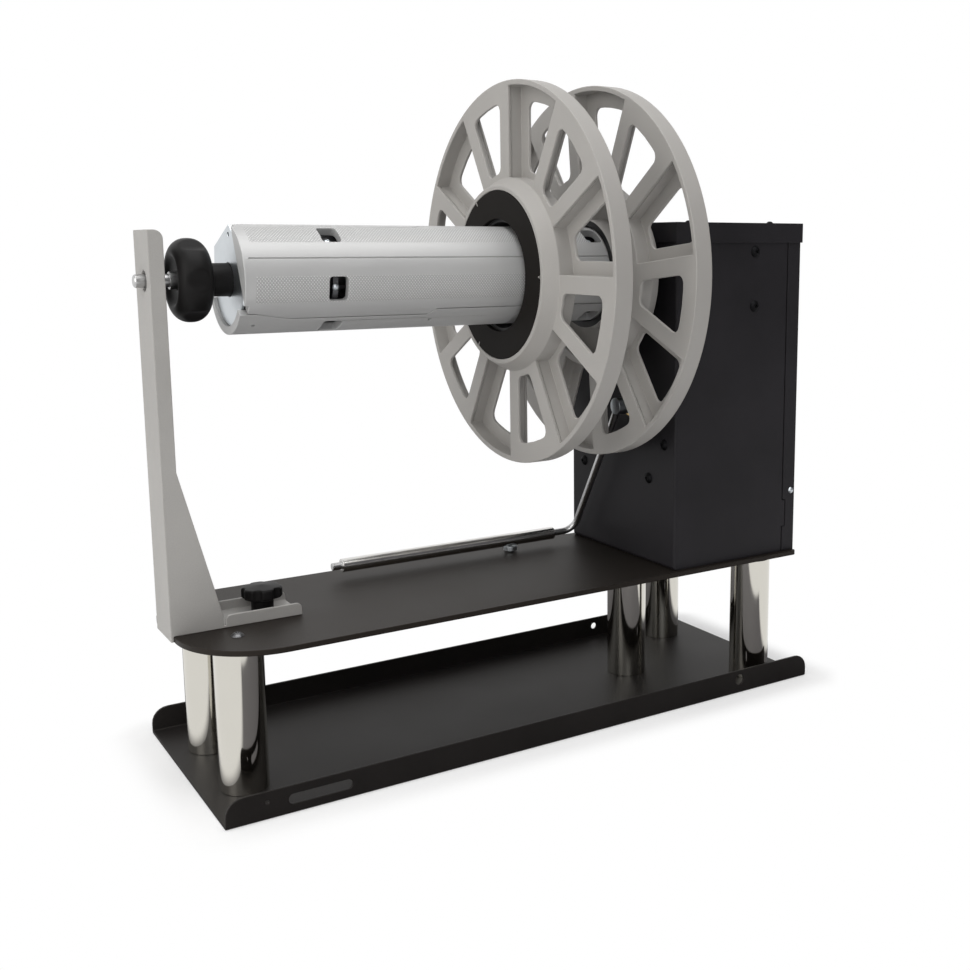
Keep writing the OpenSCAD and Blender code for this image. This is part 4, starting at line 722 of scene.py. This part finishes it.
# %% Cards
quarter = math.radians(90)
card_finish = Finish("dark card")
card_tone = card_finish.noise(card_finish.place(), 2.0, 2.0)
card_finish.give(Base_Color=card_finish.mix((0.15, 0.145, 0.155, 1.0), (0.19, 0.185, 0.195, 1.0),
                                            card_tone), Roughness=0.9)
card_finish.glow(card_finish.ray("Is Camera Ray"))


def card(name, place, size, turn):
    bpy.ops.mesh.primitive_plane_add(size=1.0, location=place, rotation=turn)
    thing = bpy.context.object
    thing.name = name
    thing.scale = size
    thing.data.materials.append(card_finish.material)
    return thing


cards = [card("right_card", (1.6, -0.8, 1.1), (2.2, 2.8, 1.0), (0.0, quarter, 0.0)),
         card("front_card", (0.65, -2.2, 1.1), (1.9, 2.2, 1.0), (quarter, 0.0, 0.0))]
print("cards:", [c.name for c in cards])

# %% [markdown]
# Backdrop.
# The world is white to the camera, in mirrors and through glass, and gives a softer light to
# everything else. Two backgrounds and the kind of ray choose between them.

# %% World
world_light = 0.55
world = bpy.data.worlds.new("studio")
bpy.context.scene.world = world
world.use_nodes = True
sky = world.node_tree
back = sky.nodes["Background"]
back.inputs["Color"].default_value = white
back.inputs["Strength"].default_value = world_light
plain = sky.nodes.new("ShaderNodeBackground")
plain.inputs["Color"].default_value = white
plain.inputs["Strength"].default_value = 1.0
rays = sky.nodes.new("ShaderNodeLightPath")
direct = sky.nodes.new("ShaderNodeMath")
direct.operation = "MAXIMUM"
clear = sky.nodes.new("ShaderNodeMath")
clear.operation = "MAXIMUM"
pick = sky.nodes.new("ShaderNodeMixShader")
sky.links.new(rays.outputs["Is Camera Ray"], direct.inputs[0])
sky.links.new(rays.outputs["Is Glossy Ray"], direct.inputs[1])
sky.links.new(direct.outputs[0], clear.inputs[0])
sky.links.new(rays.outputs["Is Transmission Ray"], clear.inputs[1])
sky.links.new(clear.outputs[0], pick.inputs[0])
sky.links.new(back.outputs[0], pick.inputs[1])
sky.links.new(plain.outputs[0], pick.inputs[2])
sky.links.new(pick.outputs[0], sky.nodes["World Output"].inputs[0])
print("world:", world.name)

# %% [markdown]
# Lamps.
# Three area lamps light the machine: the strongest overhead, one on the left that reaches the arm
# and the holder's end, and a weak one in front. Large lamps give broad, soft highlights.

# %% Lamps
def lamp(name, place, target, size, power, tint=(1.0, 1.0, 1.0)):
    data = bpy.data.lights.new(name, "AREA")
    data.shape = "RECTANGLE"
    data.size = size[0]
    data.size_y = size[1]
    data.energy = power
    data.color = tint
    thing = bpy.data.objects.new(name, data)
    bpy.context.scene.collection.objects.link(thing)
    thing.location = place
    thing.rotation_euler = (Vector(target) - Vector(place)).to_track_quat("-Z", "Y").to_euler()
    return thing


middle = (0.0, 0.0, 0.25)
lamps = [lamp("top_softbox", (-0.1, -0.3, 1.7), middle, (1.6, 1.2), 16.0),
         lamp("left_softbox", (-1.7, -0.5, 0.8), middle, (1.0, 1.4), 9.0, (1.0, 0.98, 0.95)),
         lamp("front_softbox", (-0.7, -1.9, 1.0), middle, (0.9, 0.9), 5.0)]
print("lamps:", len(lamps))

# %% [markdown]
# Camera.
# The tray, the flanges and the legs in the photograph gave the camera's place, turn and lens. The
# photograph was cropped off its centre, so the lens is shifted by the same share.

# %% Camera
camera_place = Vector((-0.4573, -0.8348, 0.3767))
camera_yaw = math.radians(56.05)
camera_pitch = math.radians(9.09)
view = Vector((math.cos(camera_yaw) * math.cos(camera_pitch),
               math.sin(camera_yaw) * math.cos(camera_pitch),
               -math.sin(camera_pitch)))
eye = bpy.data.cameras.new("eye")
eye.sensor_width = 36.0
eye.lens = 44.235
eye.shift_x = -0.122
eye.shift_y = -0.0504
camera = bpy.data.objects.new("eye", eye)
bpy.context.scene.collection.objects.link(camera)
camera.location = camera_place
camera.rotation_euler = view.to_track_quat("-Z", "Y").to_euler()
bpy.context.scene.camera = camera
bpy.context.scene.view_settings.view_transform = "Standard"
print("camera:", tuple(round(c, 4) for c in camera.location))
